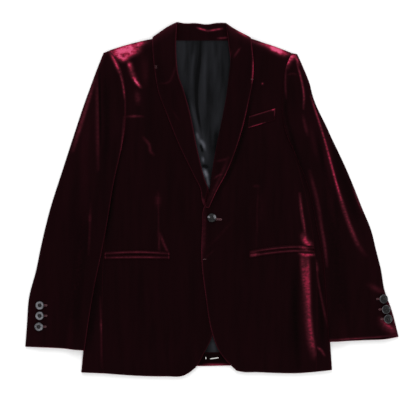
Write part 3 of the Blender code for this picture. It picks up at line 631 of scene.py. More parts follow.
def x_at(table, y):
    """Where a line that climbs along Y crosses the height y."""
    line = smooth_line(sorted(table, key=lambda row: row[1]), DISTANCE_STEPS)
    order = np.argsort(line[:, 1])
    return np.interp(y, line[order, 1], line[order, 0])


def reach_to(line, plan):
    """Distance from each grid point to a line, the share of its length at the nearest place, and the side."""
    start = np.array(line[:-1])
    way = np.array(line[1:]) - start
    offset = plan[..., None, :] - start
    t = np.clip((offset * way).sum(-1) / (way * way).sum(-1), 0.0, 1.0)
    away = np.linalg.norm(offset - t[..., None] * way, axis=-1)
    nearest = away.argmin(-1)[..., None]
    along = (nearest + np.take_along_axis(t, nearest, -1))[..., 0] / len(start)
    turn = way[:, 0] * offset[..., 1] - way[:, 1] * offset[..., 0]
    on_left = np.take_along_axis(turn, nearest, -1)[..., 0] > 0.0
    return np.take_along_axis(away, nearest, -1)[..., 0], along, on_left


def distance_to(line, plan):
    """Distance in plan from each grid point to a line."""
    every = max(1, len(line) // DISTANCE_STEPS)
    return reach_to(np.concatenate((line[:-1:every], line[-1:])), plan)[0]


def patch(bottom, top, left, right):
    """A plan grid between four lines: rows from bottom to top, columns from left to right."""
    across = np.linspace(0.0, 1.0, len(bottom))[None, :, None]
    up = np.linspace(0.0, 1.0, len(left))[:, None, None]
    rows = blend(bottom[None], top[None], up)
    columns = blend(left[:, None], right[:, None], across)
    corners = blend(blend(bottom[0], bottom[-1], across), blend(top[0], top[-1], across), up)
    grid = rows + columns - corners
    for _ in range(RELAX_ROUNDS):
        neighbours = (grid[:-2, 1:-1], grid[2:, 1:-1], grid[1:-1, :-2], grid[1:-1, 2:])
        grid[1:-1, 1:-1] = sum(neighbours) / len(neighbours)
    return grid


def with_lines(grid, steps, *sides):
    """Extra grid lines close to the named sides of a plan grid."""
    for side in sides:
        turn = (1, 0, 2) if side in ("bottom", "top") else (0, 1, 2)
        way_in = -1 if side in ("right", "top") else 1
        grid = grid.transpose(turn)[:, ::way_in]
        way = grid[:, 1] - grid[:, 0]
        along = directions(grid[:, 0])
        across = np.abs(way[:, 0] * along[:, 1] - way[:, 1] * along[:, 0])
        lines = [grid[:, 0]]
        for number, step in enumerate(steps, start=1):
            share = np.minimum(step / across, number / (len(steps) + 1))
            lines.append(grid[:, 0] + way * share[:, None])
        grid = np.concatenate((np.stack(lines, axis=1), grid[:, 1:]), axis=1)
        grid = grid[:, ::way_in].transpose(turn)
    return grid


def rounded(top, foot, distance, radius):
    """Heights that curve down to a foot height at a folded edge."""
    inward = 1.0 - np.clip(distance / radius, 0.0, 1.0)
    return foot + (top - foot) * np.sqrt(1.0 - inward ** 2)


def edge_drop(distance, drop_and_radius):
    """How far the top of the cloth curves down beside a finished edge or a seam."""
    drop, radius = drop_and_radius
    return drop - rounded(drop, 0.0, distance, radius)


def edge_painted_light(plan, edges):
    """Painted highlight along edges at given distances, painted shade where the share is below nought, more
    in some places than in others.
    """
    x, y = plan[..., 0], plan[..., 1]
    short, middle, long = PATCH_LENGTHS
    waves = (np.sin(x / short + y / long), np.sin(y / short - x / middle), np.sin(y / middle + PATCH_PHASE))
    share = blend(PATCH_FLOOR, 1.0, (1.0 + np.mean(waves, axis=0)) / 2)
    near = sum(EDGE_PAINTED_LIGHT[edge] * np.exp(-(away / EDGE_PAINTED_LIGHT_WIDTH) ** 2) for edge, away in edges.items())
    return share * near


def creased(piece, plan):
    """Height of the creases of a piece, and the painted highlight and shade of its strokes, at each grid
    point.
    """
    height = np.zeros(plan.shape[:-1])
    painted_light = np.zeros(plan.shape[:-1])
    # the fourth value of a row is its painted light: a highlight above nought, painted shade below
    for left_width, right_width, rise, turned, *points in CREASES_AND_PAINTED_LIGHT[piece]:
        away, along, on_left = reach_to(smooth_line(points, CREASE_STEPS), plan)
        width = np.where(on_left, left_width, right_width)
        taper = ease(np.minimum(along, 1.0 - along) / CREASE_TAPER)
        share = np.exp(-(away / width) ** 2) * blend(CREASE_END_SHARE, 1.0, taper)
        height += rise * share
        painted_light += turned * share
    return height, painted_light


def neck_lift(plan, spread=0.0):
    """How far the collar's fall lifts the back at the neck, with a wider spread for what lies on it."""
    climb = ramp(plan[..., 1], (NECK_CLIMB[0] - spread, NECK_CLIMB[1] + spread))
    fade = ramp(np.abs(plan[..., 0] - NECK_MIDDLE), (NECK_FADE[0] + spread, NECK_FADE[1]))
    return (NECK_LIFT + NECK_SPREAD_RISE * spread / LINING_SPREAD) * climb * (1.0 - fade)


def padded_shoulder(plan):
    """Share of the shoulder pad's thickness at a height up the front."""
    return ramp(plan[..., 1], PAD_CLIMB)


def front_inside(plan):
    """One in the middle of a front, none at its edges and under the sleeves."""
    x, y = plan[..., 0], plan[..., 1]
    share = 0.0
    for side in SIDES:
        outer = x_at(SLEEVE_FOLD[side] + ARMHOLE[side][1:], y)
        inner = x_at(FRONT_EDGE[side] + ROLL[side][LAPEL_POINT_ROWS:], y)
        near_sleeve = ramp(outward(side) * (outer - x), AIR_BESIDE_SLEEVE)
        near_edge = ramp(outward(side) * (x - inner), AIR_BESIDE_EDGE)
        share = np.maximum(share, near_sleeve * near_edge)
    return share * ramp(y, AIR_ABOVE_HEM)


def front_under(plan):
    """Height of the underside of the fronts."""
    return UNDER_FRONT + neck_lift(plan, LINING_SPREAD) + FRONT_AIR * front_inside(plan)


def front_over(plan):
    """Height of the top of the fronts, before the lap and the shoulder fold."""
    canvas = CHEST_CANVAS * front_inside(plan) * ramp(plan[..., 1], CANVAS_CLIMB)
    return front_under(plan) + FRONT_WALL + canvas + SHOULDER_PAD * padded_shoulder(plan)


def lap_rise(side, plan):
    """How far the left front is lifted where it lies on the right front."""
    if side == "right":
        return 0.0
    return LAP * (1.0 - ramp(plan[..., 0], LAP_FADE_ACROSS)) * (1.0 - ramp(plan[..., 1], LAP_FADE_UP))


def front_surface(side, plan):
    """Height of the top of a front with its lap and creases, away from its edges."""
    return front_over(plan) + lap_rise(side, plan) + creased("front_" + side, plan)[0]


def sleeve_seat(side, plan):
    """Height that a sleeve lies on: the floor, or the side of the body."""
    x, y = plan[..., 0], plan[..., 1]
    outside = outward(side) * (x - x_at(BODY_EDGE[side], np.minimum(y, ARMPIT)))
    return SLEEVE_SEAT * (1.0 - ramp(outside, SLEEVE_SEAT_FADE_OUT)) * (1.0 - ramp(y, SLEEVE_SEAT_FADE_UP))


def sleeve_under(side, plan, to_turn):
    """Height of the underside of a top sleeve, away from its folds."""
    lying = sleeve_seat(side, plan) + UNDER_SLEEVE_WALL + LAYER_GAP
    return lying + SLEEVE_AIR * ramp(to_turn, SLEEVE_AIR_RUN)


def sleeve_over(side, plan, to_turn):
    """Height of the top of a sleeve, curved down at its folds."""
    over = sleeve_under(side, plan, to_turn) + TOP_SLEEVE_WALL + SLEEVE_HEAD * padded_shoulder(plan)
    return rounded(over, sleeve_seat(side, plan) + SLEEVE_FOLD_HEIGHT, to_turn, SLEEVE_FOLD_RADIUS)


def sleeve_lines(side, seam_rows, armhole_rows):
    """Outer edge, and inner fold with the armhole, of a sleeve, with rows that match the armhole's."""
    armhole = shifted(smooth_line(ARMHOLE[side], armhole_rows), outward(side) * SEWN)
    fold = smooth_line(SLEEVE_FOLD[side][:-1] + (tuple(armhole[0]),), seam_rows)
    edge = smooth_line(SLEEVE_EDGE[side], seam_rows + armhole_rows)
    return edge, joined(fold, armhole)


def sleeve_surface(side, plan):
    """Height of the top of a sleeve with its creases, away from its cuff."""
    edge, inner = sleeve_lines(side, DISTANCE_STEPS, DISTANCE_STEPS)
    to_turn = np.minimum(distance_to(edge, plan), distance_to(inner, plan))
    crease = creased("sleeve_" + side, plan)[0] * ease(to_turn / SLEEVE_FOLD_RADIUS)
    return sleeve_over(side, plan, to_turn) + crease


def stacked(plan, heights):
    """Plan points with their heights."""
    return np.concatenate((plan, heights[..., None]), axis=-1)


def in_scene(name, data):
    """A new object at the origin of the scene."""
    made = bpy.data.objects.new(name, data)
    bpy.context.scene.collection.objects.link(made)
    return made


def with_mesh(name, bm, material):
    """A new object with a finished mesh."""
    mesh = bpy.data.meshes.new(name)
    bm.to_mesh(mesh)
    bm.free()
    mesh.materials.append(material)
    return in_scene(name, mesh)


def placed(name, bm, material, node=None):
    """A finished mesh as a piece of the jacket, in place of its solid where it has one."""
    bmesh.ops.recalc_face_normals(bm, faces=bm.faces[:])
    piece = with_mesh(name, bm, material)
    piece.data.shade_smooth()
    piece.data.set_sharp_from_angle(angle=math.radians(SHARP_ANGLE))
    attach(piece, "root")
    if node:
        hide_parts(node)
    return piece


def wall(name, node, plan, upper, under, painted_light, material, under_plan=None,
         under_painted_light=None):
    """A closed cloth wall over a plan grid, between an upper and an under height."""
    rows, columns = upper.shape
    bm = bmesh.new()
    order = bm.verts.layers.int.new("order")
    # each point keeps its painted light: a highlight above nought, painted shade below
    turned = bm.verts.layers.float.new("painted_light")
    bmesh.ops.create_grid(bm, x_segments=columns - 1, y_segments=rows - 1, size=1.0)
    top_points = (stacked(plan, upper) * MM).reshape(-1, 3).tolist()
    under_plan = plan if under_plan is None else under_plan
    under_points = (stacked(under_plan, under) * MM).reshape(-1, 3).tolist()
    shares = painted_light.ravel().tolist()
    under_shares = (np.zeros_like(painted_light) if under_painted_light is None else under_painted_light).ravel().tolist()
    for number, vert in enumerate(bm.verts):
        vert[order] = number
        vert[turned] = shares[number]
        vert.co = top_points[number]
    grown = bmesh.ops.extrude_face_region(bm, geom=bm.faces[:], use_keep_orig=True)
    for vert in grown["geom"]:
        if isinstance(vert, bmesh.types.BMVert):
            vert.co = under_points[vert[order]]
            vert[turned] = under_shares[vert[order]]
    bm.verts.layers.int.remove(order)
    piece = placed(name, bm, material, node)


def make_front(side, velvet):
    """A front from the hem to the shoulder, with the roll line as its upper inner edge."""
    roll = shifted(np.array(ROLL[side][LAPEL_POINT_ROWS:-1], float), outward(side) * ROLL_INSET)
    seam = stepped(SIDE_SEAM[side], FINE)
    armhole = stepped(ARMHOLE[side], FINE)
    outer = joined(seam, armhole)
    inner = alike(np.concatenate((FRONT_EDGE[side], roll, SHOULDER[side][:1])), outer)
    bottom = stepped(HEM[side], FINE)
    top = alike(SHOULDER[side], bottom)
    plan = with_lines(patch(bottom, top, inner, outer), EDGE_STEPS, "left", "right", "bottom")
    plan = with_lines(plan, FOLD_STEPS, "top")
    lap = lap_rise(side, plan)
    crease, painted_light = creased("front_" + side, plan)
    to_inner = distance_to(inner, plan)
    to_hem = distance_to(bottom, plan)
    to_armhole = distance_to(armhole, plan)
    upper = rounded(front_over(plan), SHOULDER_FOLD_HEIGHT, distance_to(top, plan), SHOULDER_RADIUS)
    upper += lap + crease - edge_drop(np.minimum(to_inner, to_hem), EDGE_ROUND)
    upper -= edge_drop(to_armhole, SEAM_ROUND) + edge_drop(distance_to(seam, plan), FLAT_SEAM_ROUND)
    under = np.minimum(front_under(plan) + lap, upper - FRONT_WALL + EDGE_ROUND[0])
    under[-FOLD_LINES:] = 0.0
    painted_light += edge_painted_light(plan, {"front_" + side: to_inner, "hem": to_hem, "armhole_" + side: to_armhole})
    wall("velvet_front_" + side, "front_" + side, plan, upper, under, painted_light, velvet)


def make_side(side, velvet):
    """A side body from its front seam to the fold at the side, where it turns down to the floor."""
    seam = shifted(stepped(SIDE_SEAM[side], FINE), outward(side) * SEWN)
    edge = alike(BODY_EDGE[side], seam)
    bottom = stepped((seam[0], edge[0]), FINE)
    top = alike((seam[-1], edge[-1]), bottom)
    plan = with_lines(patch(bottom, top, seam, edge), EDGE_STEPS, "left", "bottom")
    plan = with_lines(plan, FOLD_STEPS, "right")
    crease, painted_light = creased("side_" + side, plan)
    to_hem = distance_to(bottom, plan)
    upper = rounded(front_over(plan) + crease, SIDE_FOLD_HEIGHT, distance_to(edge, plan), SIDE_FOLD_RADIUS)
    upper -= edge_drop(to_hem, EDGE_ROUND) + edge_drop(distance_to(seam, plan), FLAT_SEAM_ROUND)
    under = np.minimum(front_under(plan), upper - FRONT_WALL * FOLD_THINNING + SEAM_ROUND[0])
    under[:, -FOLD_LINES:] = 0.0
    painted_light += edge_painted_light(plan, {"hem": to_hem})
    wall("velvet_side_" + side, "side_" + side, plan, upper, under, painted_light, velvet)


def make_back(side, velvet):
    """Half of the back, flat on the floor, from the centre seam to the side."""
    away = outward(side)
    side_edge = shifted(stepped(BODY_EDGE[side], BACK_GRID), -away * (FOLD_CLEAR + SEAM / 2))[:-1]
    under_arm = np.array([ARMHOLE[side][0]]) + (away * BACK_UNDER_ARM[0], BACK_UNDER_ARM[1])
    armhole = stepped(ARMHOLE[side], BACK_GRID)[1:]
    armhole[-1] += (away * BACK_SHOULDER_POINT[0], BACK_SHOULDER_POINT[1])
    outer = np.concatenate((side_edge, under_arm, armhole))
    centre_x = CENTRE_BACK + away * SEAM / 2
    centre = alike(((centre_x, BACK_HEM_Y), (centre_x, NECK_SEAM)), outer)
    columns = steps_along((centre[0], outer[0]), BACK_GRID)
    bottom = smooth_line((centre[0], BACK_HEM_BEND[side], outer[0]), columns)
    shoulder = np.array(SHOULDER[side], float)[1:-1] - (0.0, BACK_BELOW_SHOULDER)
    corner = (ROLL[side][-2][0], NECK_SEAM - BACK_BELOW_SHOULDER)
    top = smooth_line(np.concatenate((centre[-1:], [corner], shoulder, outer[-1:])), columns)
    plan = with_lines(patch(bottom, top, centre, outer), EDGE_STEPS, "bottom")
    under = neck_lift(plan)
    to_hem = distance_to(bottom, plan)
    upper = under + BACK_WALL - edge_drop(to_hem, SEAM_ROUND)
    painted_light = edge_painted_light(plan, {"back_hem": to_hem})
    wall("velvet_back_" + side, "back_" + side, plan, upper, under, painted_light, velvet,
         under_painted_light=creased("back_" + side, plan)[1])


def make_lining(satin):
    """The back lining on the inside of the back, with its pleat at the centre."""
    right = stepped(LINING_SIDE["right"], LINING_GRID)
    left = alike(LINING_SIDE["left"], right)
    bottom = stepped((right[0], left[0]), LINING_GRID)
    plan = patch(bottom, alike((right[-1], left[-1]), bottom), right, left)
    # painted shine and painted shade of the satin's strokes
    crease, satin_light_and_shade = creased("lining", plan)
    under = neck_lift(plan, LINING_SPREAD) + BACK_WALL + SEAM
    to_pleat = np.abs(plan[..., 0] - x_at(LINING_PLEAT_LINE, plan[..., 1]))
    pleat = LINING_PLEAT * (1.0 - ease(to_pleat / LINING_PLEAT_WIDTH))
    upper = under + LINING_WALL + pleat + np.maximum(crease, -LINING_WALL * FOLD_THINNING)
    wall("satin_lining_back", "lining_back", plan, upper, under, satin_light_and_shade, satin)


def make_turn_up(velvet):
    """The hem of the back, turned up on the inside below the lining."""
    right_end = x_at(BODY_EDGE["right"], BACK_HEM_Y) + TURN_UP_INSET
    left_end = x_at(BODY_EDGE["left"], BACK_HEM_Y) - TURN_UP_INSET
    corners = ((right_end, BACK_HEM_Y), BACK_HEM_BEND["right"], BACK_HEM_BEND["left"], (left_end, BACK_HEM_Y))
    bottom = stepped(corners, FINE) + (0.0, SEAM)
    top = np.stack((bottom[:, 0], np.full(len(bottom), TURN_UP_TOP)), axis=1)
    plan = blend(bottom[None], top[None], np.linspace(0.0, 1.0, TURN_UP_ROWS)[:, None, None])
    plan = with_lines(plan, EDGE_STEPS, "bottom", "top")
    to_foot = distance_to(bottom, plan)
    to_top = TURN_UP_TOP - plan[..., 1]
    under = np.full(plan.shape[:2], BACK_WALL + SEAM)
    upper = under + TURN_UP_WALL - edge_drop(np.minimum(to_foot, to_top), SEAM_ROUND)
    # painted shade over the turned-up hem, with painted highlights along its edges
    painted_light = TURN_UP_PAINTED_SHADE + creased("turn_up", plan)[1]
    painted_light += edge_painted_light(plan, {"turn_up": to_top, "back_hem": to_foot})
    wall("velvet_hem_turn_up", "back_hem_turnup", plan, upper, under, painted_light, velvet)


def make_lapel(side, velvet):
    """A lapel turned back on its front, from the break to the fold over the shoulder."""
    roll = stepped(ROLL[side], FINE)
    edge = alike(LAPEL_EDGE[side], roll)
    columns = steps_along((roll[-1], edge[-1]), FINE)
    bottom = smooth_line((roll[0], edge[0]), columns)
    bend = blend(roll[-1], edge[-1], LAPEL_TOP_BEND) + (0.0, LAPEL_TOP_RISE[side])
    top = smooth_line((roll[-1], bend, edge[-1]), columns)
    plan = with_lines(patch(bottom, top, roll, edge), FOLD_STEPS, "left")
    plan = with_lines(with_lines(plan, EDGE_STEPS, "right"), FOLD_STEPS, "top")
    to_roll = distance_to(roll, plan)
    to_edge = np.minimum(distance_to(edge, plan), distance_to(bottom, plan))
    to_top = distance_to(top, plan)
    crest = LAPEL_ROLL * (1.0 - ease(to_roll / LAPEL_ROLL_WIDTH)) * ramp(plan[..., 1], LAPEL_ROLL_CLIMB)
    crease, painted_light = creased("lapel_" + side, plan)
    lifted = front_over(plan) + lap_rise(side, plan) + LAPEL_GAP + crest
    over = lifted + LAPEL_WALL + crease
    upper = rounded(over, over - ROLL_DROP, to_roll, ROLL_RADIUS)
    upper = rounded(upper, SHOULDER_FOLD_HEIGHT, to_top, SHOULDER_RADIUS) - edge_drop(to_edge, EDGE_ROUND)
    seat = UNDER_FRONT + neck_lift(plan, LINING_SPREAD) + LINING_PLEAT
    under = np.minimum(lifted, upper - LAPEL_WALL * FOLD_THINNING + EDGE_ROUND[0])
    under[:, :FOLD_LINES] = np.minimum(seat, under)[:, :FOLD_LINES]
    if side == "right":
        clear = ease((x_at(ROLL["left"], plan[..., 1]) - plan[..., 0]) / TUCK_RUN)
        upper = TUCK_HEIGHT + (upper - TUCK_HEIGHT) * clear
        under = np.minimum(under, upper - TUCK_WALL)
    under[-FOLD_LINES:] = 0.0
    painted_light += edge_painted_light(plan, {"lapel_" + side: to_edge, "roll_" + side: to_roll, "lapel_top_" + side: to_top})
    wall("velvet_lapel_" + side, "lapel_" + side, plan, upper, under, painted_light, velvet)


def collar_section(centre, inset):
    """Y and height from the collar's fall round its fold to its stand, on a face set in from the outside."""
    fall = blend(COLLAR_FALL_EDGE, centre, np.linspace(0.0, 1.0, COLLAR_FALL_STEPS)[:-1])
    stand = blend(centre, COLLAR_STAND_EDGE, np.linspace(0.0, 1.0, COLLAR_STAND_STEPS)[1:])
    turn = np.linspace(-math.pi / 2, math.pi / 2, COLLAR_TURN_STEPS)
    half = COLLAR_HEIGHT / 2
    y = np.concatenate((fall, centre + (COLLAR_BEND - inset) * np.cos(turn), stand), axis=1)
    height = np.concatenate((np.full_like(fall[0], inset), half + (half - inset) * np.sin(turn),
                             np.full_like(stand[0], COLLAR_HEIGHT - inset)))
    return y, np.broadcast_to(height, y.shape)


def make_collar(velvet):
    """The collar at the back neck: its fall under the back, a fold, and a stand that widens to the lapels."""
    fold = stepped(COLLAR_FOLD, FINE / 2)
    centre = fold[:, 1:] - COLLAR_BEND
    y, upper = collar_section(centre, 0.0)
    under_y, under = collar_section(centre, COLLAR_WALL)
    share = (fold[:, :1] - fold[0, 0]) / (fold[-1, 0] - fold[0, 0])
    spread = blend(x_at(ROLL["right"], y) + SEWN, x_at(ROLL["left"], y) - SEWN, share)
    x = np.where(upper < COLLAR_HEIGHT / 2, fold[:, :1], spread)
    plan = np.stack((x, y), axis=-1)
    on_stand = upper > COLLAR_HEIGHT / 2
    crease, painted_light = np.where(on_stand, creased("collar", plan), 0.0)
    painted_light += edge_painted_light(plan, {"collar": np.abs(y - fold[:, 1:])})
    wall("velvet_collar_back", "collar_back", plan, upper + crease, under, painted_light, velvet,
         under_plan=np.stack((x, under_y), axis=-1))


def make_sleeve(side, velvet):
    """A sleeve: the top sleeve turns down at its folds, with the under sleeve between them."""
    seam_rows = steps_along(SLEEVE_FOLD[side], FINE)
    armhole_rows = steps_along(ARMHOLE[side], FINE)
    edge, inner = sleeve_lines(side, seam_rows, armhole_rows)
    cuff = smooth_line((edge[0], *CUFF[side][1:-1], inner[0]), steps_along(CUFF[side], FINE))
    head = alike((edge[-1], inner[-1]), cuff)
    plan = with_lines(patch(cuff, head, edge, inner), FOLD_STEPS, "left", "right")
    plan = with_lines(plan, EDGE_STEPS, "bottom")
    fold_rows = seam_rows + len(EDGE_STEPS) + 1
    seat = sleeve_seat(side, plan)
    to_inner = distance_to(inner[:seam_rows + 1], plan)
    to_turn = np.minimum(distance_to(joined(edge, head), plan), to_inner)
    to_armhole = distance_to(inner[seam_rows:], plan)
    to_cuff = distance_to(cuff, plan)
    crease, painted_light = creased("sleeve_" + side, plan)
    upper = sleeve_over(side, plan, to_turn) + crease * ease(to_turn / SLEEVE_FOLD_RADIUS)
    upper -= edge_drop(to_cuff, EDGE_ROUND) + edge_drop(to_armhole, SEAM_ROUND)
    thinned = upper - TOP_SLEEVE_WALL * FOLD_THINNING + SEAM_ROUND[0]
    under = np.minimum(sleeve_under(side, plan, to_turn), thinned)
    under[:, :FOLD_LINES] = seat[:, :FOLD_LINES]
    under[:fold_rows, -FOLD_LINES:] = seat[:fold_rows, -FOLD_LINES:]
    sewn_down = np.minimum(under, front_under(plan))
    under[fold_rows:, -FOLD_LINES:] = sewn_down[fold_rows:, -FOLD_LINES:]
    under[-1] = seat[-1]
    edges = {"cuff_" + side: to_cuff, "sleeve_fold_" + side: to_inner, "armhole_" + side: to_armhole}
    painted_light += edge_painted_light(plan, edges)
    below = f"sleeve_{side}_under"
    wall("velvet_sleeve_" + side, f"sleeve_{side}_top", plan, upper, under, painted_light, velvet)
    head_gap = round(armhole_rows * UNDER_SLEEVE_HEAD_GAP)
    plan = plan[:-head_gap:UNDER_SLEEVE_STEP, FOLD_LINES:-FOLD_LINES:UNDER_SLEEVE_STEP]
    seat = sleeve_seat(side, plan)
    wall("velvet_" + below, below, plan, seat + UNDER_SLEEVE_WALL, seat, np.zeros_like(seat), velvet,
         under_painted_light=creased(below, plan)[1])


def strip_on_front(name, node, side, lower_line, upper_line, creases, velvet):
    """A welt that lies on a front, between two lines of points, with rounded edges."""
    low = stepped(lower_line, FINE / 2)
    high = alike(upper_line, low)
    shares = np.linspace(0.0, 1.0, steps_along((low[0], high[0]), FINE / 2) + 1)[None, :, None]
    plan = blend(low[:, None], high[:, None], shares)
    plan = with_lines(plan, EDGE_STEPS, "left", "right", "bottom", "top")
    to_edge = distance_to(np.concatenate((low, high[::-1], low[:1])), plan)
    seat = front_surface(side, plan) + WELT_GAP
    upper = seat + WELT_WALL - edge_drop(to_edge, SEAM_ROUND)
    wall(name, node, plan, upper, seat, creased(creases, plan)[1], velvet)


def make_pockets(velvet):
    """Two welts on each hip, on either side of a slit, and the breast welt."""
    for side in SIDES:
        middle = stepped(POCKET_LINE[side], FINE)
        gape = POCKET_GAPE[side] * np.sin(np.linspace(0.0, math.pi, len(middle)))
        raised = np.stack((np.zeros_like(gape), gape), axis=1)
        for place, sign, opening in (("upper", 1.0, raised), ("lower", -1.0, 0.0)):
            near = middle + opening + (0.0, sign * POCKET_SLIT / 2)
            far = near + (0.0, sign * POCKET_WELT_WIDTH)
            name = f"pocket_{side}_{place}"
            strip_on_front("velvet_" + name, name + "_welt", side, near, far, "pocket_" + side, velvet)
    base = np.array(BREAST_WELT_BASE, float)
    strip_on_front("velvet_breast_welt", "breast_pocket_welt", "left", base, base + BREAST_WELT_RISE,
                   "breast_pocket", velvet)


def button_seat(surface, x, y, lean):
    """Height at which a leaning button clears the cloth below its foot."""
    turn = np.linspace(0.0, 2 * math.pi, FOOT_STEPS)
    ring = np.array(FOOT_RINGS)[:, None] * BUTTON_FOOT * BUTTON_RADIUS
    across = ring * np.cos(turn)
    cloth = surface(np.stack((x + across, y + ring * np.sin(turn)), axis=-1))
    return float((cloth + across * math.tan(math.radians(lean))).max()) + BUTTON_GAP


def leaned(point, place, lean):
    """A button's own point turned about Y and moved to the button's place, in metres."""
    px, py, pz = point
    bx, by, bz = place
    cos, sin = math.cos(math.radians(lean)), math.sin(math.radians(lean))
    return ((bx + px * cos + pz * sin) * MM, (by + py) * MM, (bz - px * sin + pz * cos) * MM)


def button_shade(x, y, look):
    """Painted shade at a place on the top of a button: sunk well, rim with painted gleams, or wall."""
    well, rim, outer_wall, gleams = BUTTON_PAINTED_SHADE[look]
    share = math.hypot(x, y) / BUTTON_RADIUS
    if share < BUTTON_WELL:
        return well
    shade = rim if share < BUTTON_WALL else outer_wall
    for angle, half_width, strength in gleams:
        apart = (math.degrees(math.atan2(y, x)) - angle + 180.0) % 360.0 - 180.0
        shade -= strength * math.exp(-(apart / half_width) ** 2)
    return shade


def make_button(node, place, lean, look, horn, thread):
    """A turned button with a raised rim, four sunk holes painted black inside, painted shade and gleams, and
    its sewing thread.
    """
    bm = bmesh.new()
    dark = bm.verts.layers.float.new("painted_light")
    profile = [bm.verts.new((share * BUTTON_RADIUS, 0.0, rise)) for share, rise in BUTTON_PROFILE]
    edges = [bm.edges.new(pair) for pair in zip(profile[:-1], profile[1:])]
    bmesh.ops.spin(bm, geom=profile + edges, cent=(0, 0, 0), axis=(0, 0, 1), angle=2 * math.pi,
                   steps=BUTTON_SIDES, use_merge=True)
    bmesh.ops.remove_doubles(bm, verts=bm.verts[:], dist=BUTTON_WELD)
    for vert in bm.verts:
        x, y, z = vert.co
        to_hole = math.hypot(abs(x) - BUTTON_HOLE_PLACE, abs(y) - BUTTON_HOLE_PLACE)
        on_top = z > BUTTON_HOLE_DEPTH
        pierced = math.exp(-(to_hole / BUTTON_HOLE_RADIUS) ** BUTTON_HOLE_STEEPNESS) if on_top else 0.0
        # painted shade: black in the sunk holes, the button's painted shade and painted gleams elsewhere
        vert[dark] = max(pierced, button_shade(x, y, look))
        vert.co = leaned((x, y, z - BUTTON_HOLE_DEPTH * pierced), place, lean)
    placed("horn_" + node, bm, horn, node)
    shares = np.linspace(-SEWING_REACH, SEWING_REACH, SEWING_STEPS)
    crossed = look == "right_last"
    sideways = shares if crossed else np.ones(SEWING_STEPS)
    heights = BUTTON_PROFILE[-1][1] + SEWING_RISE - SEWING_DIP * shares ** SEWING_STEEPNESS
    bars = [zip(BUTTON_HOLE_PLACE * shares, BUTTON_HOLE_PLACE * end * sideways, heights) for end in (-1, 1)]
    bars = [[leaned(point, place, lean) for point in bar] for bar in bars]
    thread_bars("thread_" + node, bars, SEWING_RADIUS, thread)


def thread_bars(name, lines, radius, material):
    """Short lengths of thread as one mesh: a grid for each, rolled into a tube and closed at its ends."""
    bm = bmesh.new()
    turn = np.linspace(0.0, 2 * math.pi, THREAD_SIDES + 1)[None, :, None]
    for line in lines:
        line = np.array(line, float)
        way = directions(line)
        across = np.cross(way, (0.0, 0.0, 1.0))
        across /= np.linalg.norm(across, axis=1)[:, None]
        size = np.full((len(line), 1, 1), radius * MM)
        size[[0, -1]] *= THREAD_END
        round_it = np.cos(turn) * across[:, None] + np.sin(turn) * np.cross(across, way)[:, None]
        points = (line[:, None] + size * round_it).reshape(-1, 3)
        grid = bmesh.ops.create_grid(bm, x_segments=THREAD_SIDES, y_segments=len(line) - 1, size=1.0)
        for vert, point in zip(grid["verts"], points.tolist()):
            vert.co = point
    bmesh.ops.remove_doubles(bm, verts=bm.verts[:], dist=radius * MM * THREAD_WELD)
    bmesh.ops.holes_fill(bm, edges=[edge for edge in bm.edges if edge.is_boundary], sides=THREAD_SIDES)
    placed(name, bm, material)


def on_surface(surface, points, lift):
    """Plan points laid on a surface, in metres."""
    points = np.array(points, float)
    return stacked(points, surface(points) + lift) * MM


def buttonhole(name, start, end, surface, thread):
    """A worked buttonhole: a stitched edge round a slit."""
    start = np.array(start, float)
    end = np.array(end, float)
    along = (end - start) / np.linalg.norm(end - start) * BUTTONHOLE_WIDTH / 2
    across = np.array((-along[1], along[0]))
    turn = np.linspace(0.0, math.pi, BUTTONHOLE_CAP_STEPS)[1:-1, None]
    near_cap = start + across * np.cos(turn) - along * np.sin(turn)
    far_cap = end - across * np.cos(turn) + along * np.sin(turn)
    shares = np.linspace(0.0, 1.0, BUTTONHOLE_SIDE_STEPS)[:, None]
    there = blend(start - across, end - across, shares)
    back = blend(end + across, start + across, shares)
    loop = np.concatenate((near_cap, there, far_cap, back, near_cap[:1]))
    thread_bars(name, [on_surface(surface, loop, THREAD_RADIUS / 2)], THREAD_RADIUS, thread)


def make_fastenings(horn, dark_thread, mauve_thread):
    """The front button and three on each cuff, with their buttonholes."""
    x, y = FRONT_BUTTON
    surface = partial(front_surface, "left")
    make_button("front_button", (x, y, button_seat(surface, x, y, 0.0)), 0.0, "front", horn, dark_thread)
    buttonhole("buttonhole_front", *FRONT_BUTTONHOLE, surface, mauve_thread)
    for side in SIDES:
        surface = partial(sleeve_surface, side)
        lean = CUFF_BUTTON_LEAN[side]
        near, far = CUFF_BUTTONHOLES[side]
        for number, (x, y) in enumerate(CUFF_BUTTONS[side], start=1):
            place = (x, y, button_seat(surface, x, y, lean))
            look = "right_last" if (side, number) == ("right", len(CUFF_BUTTONS[side])) else side
            make_button(f"cuff_{side}_button_{number}", place, lean, look, horn, dark_thread)
            buttonhole(f"buttonhole_cuff_{side}_{number}", (x + near, y), (x + far, y), surface, mauve_thread)


def lapel_top(plan):
    """Height of the top of the lapel at a place on it."""
    side = "right" if plan[..., 0].mean() < CENTRE_BACK else "left"
    return front_over(plan) + lap_rise(side, plan) + LAPEL_GAP + LAPEL_WALL


def turn_up_top(plan):
    """Height of the top of the turned-up hem."""
    return np.full(plan.shape[:-1], BACK_WALL + SEAM + TURN_UP_WALL)


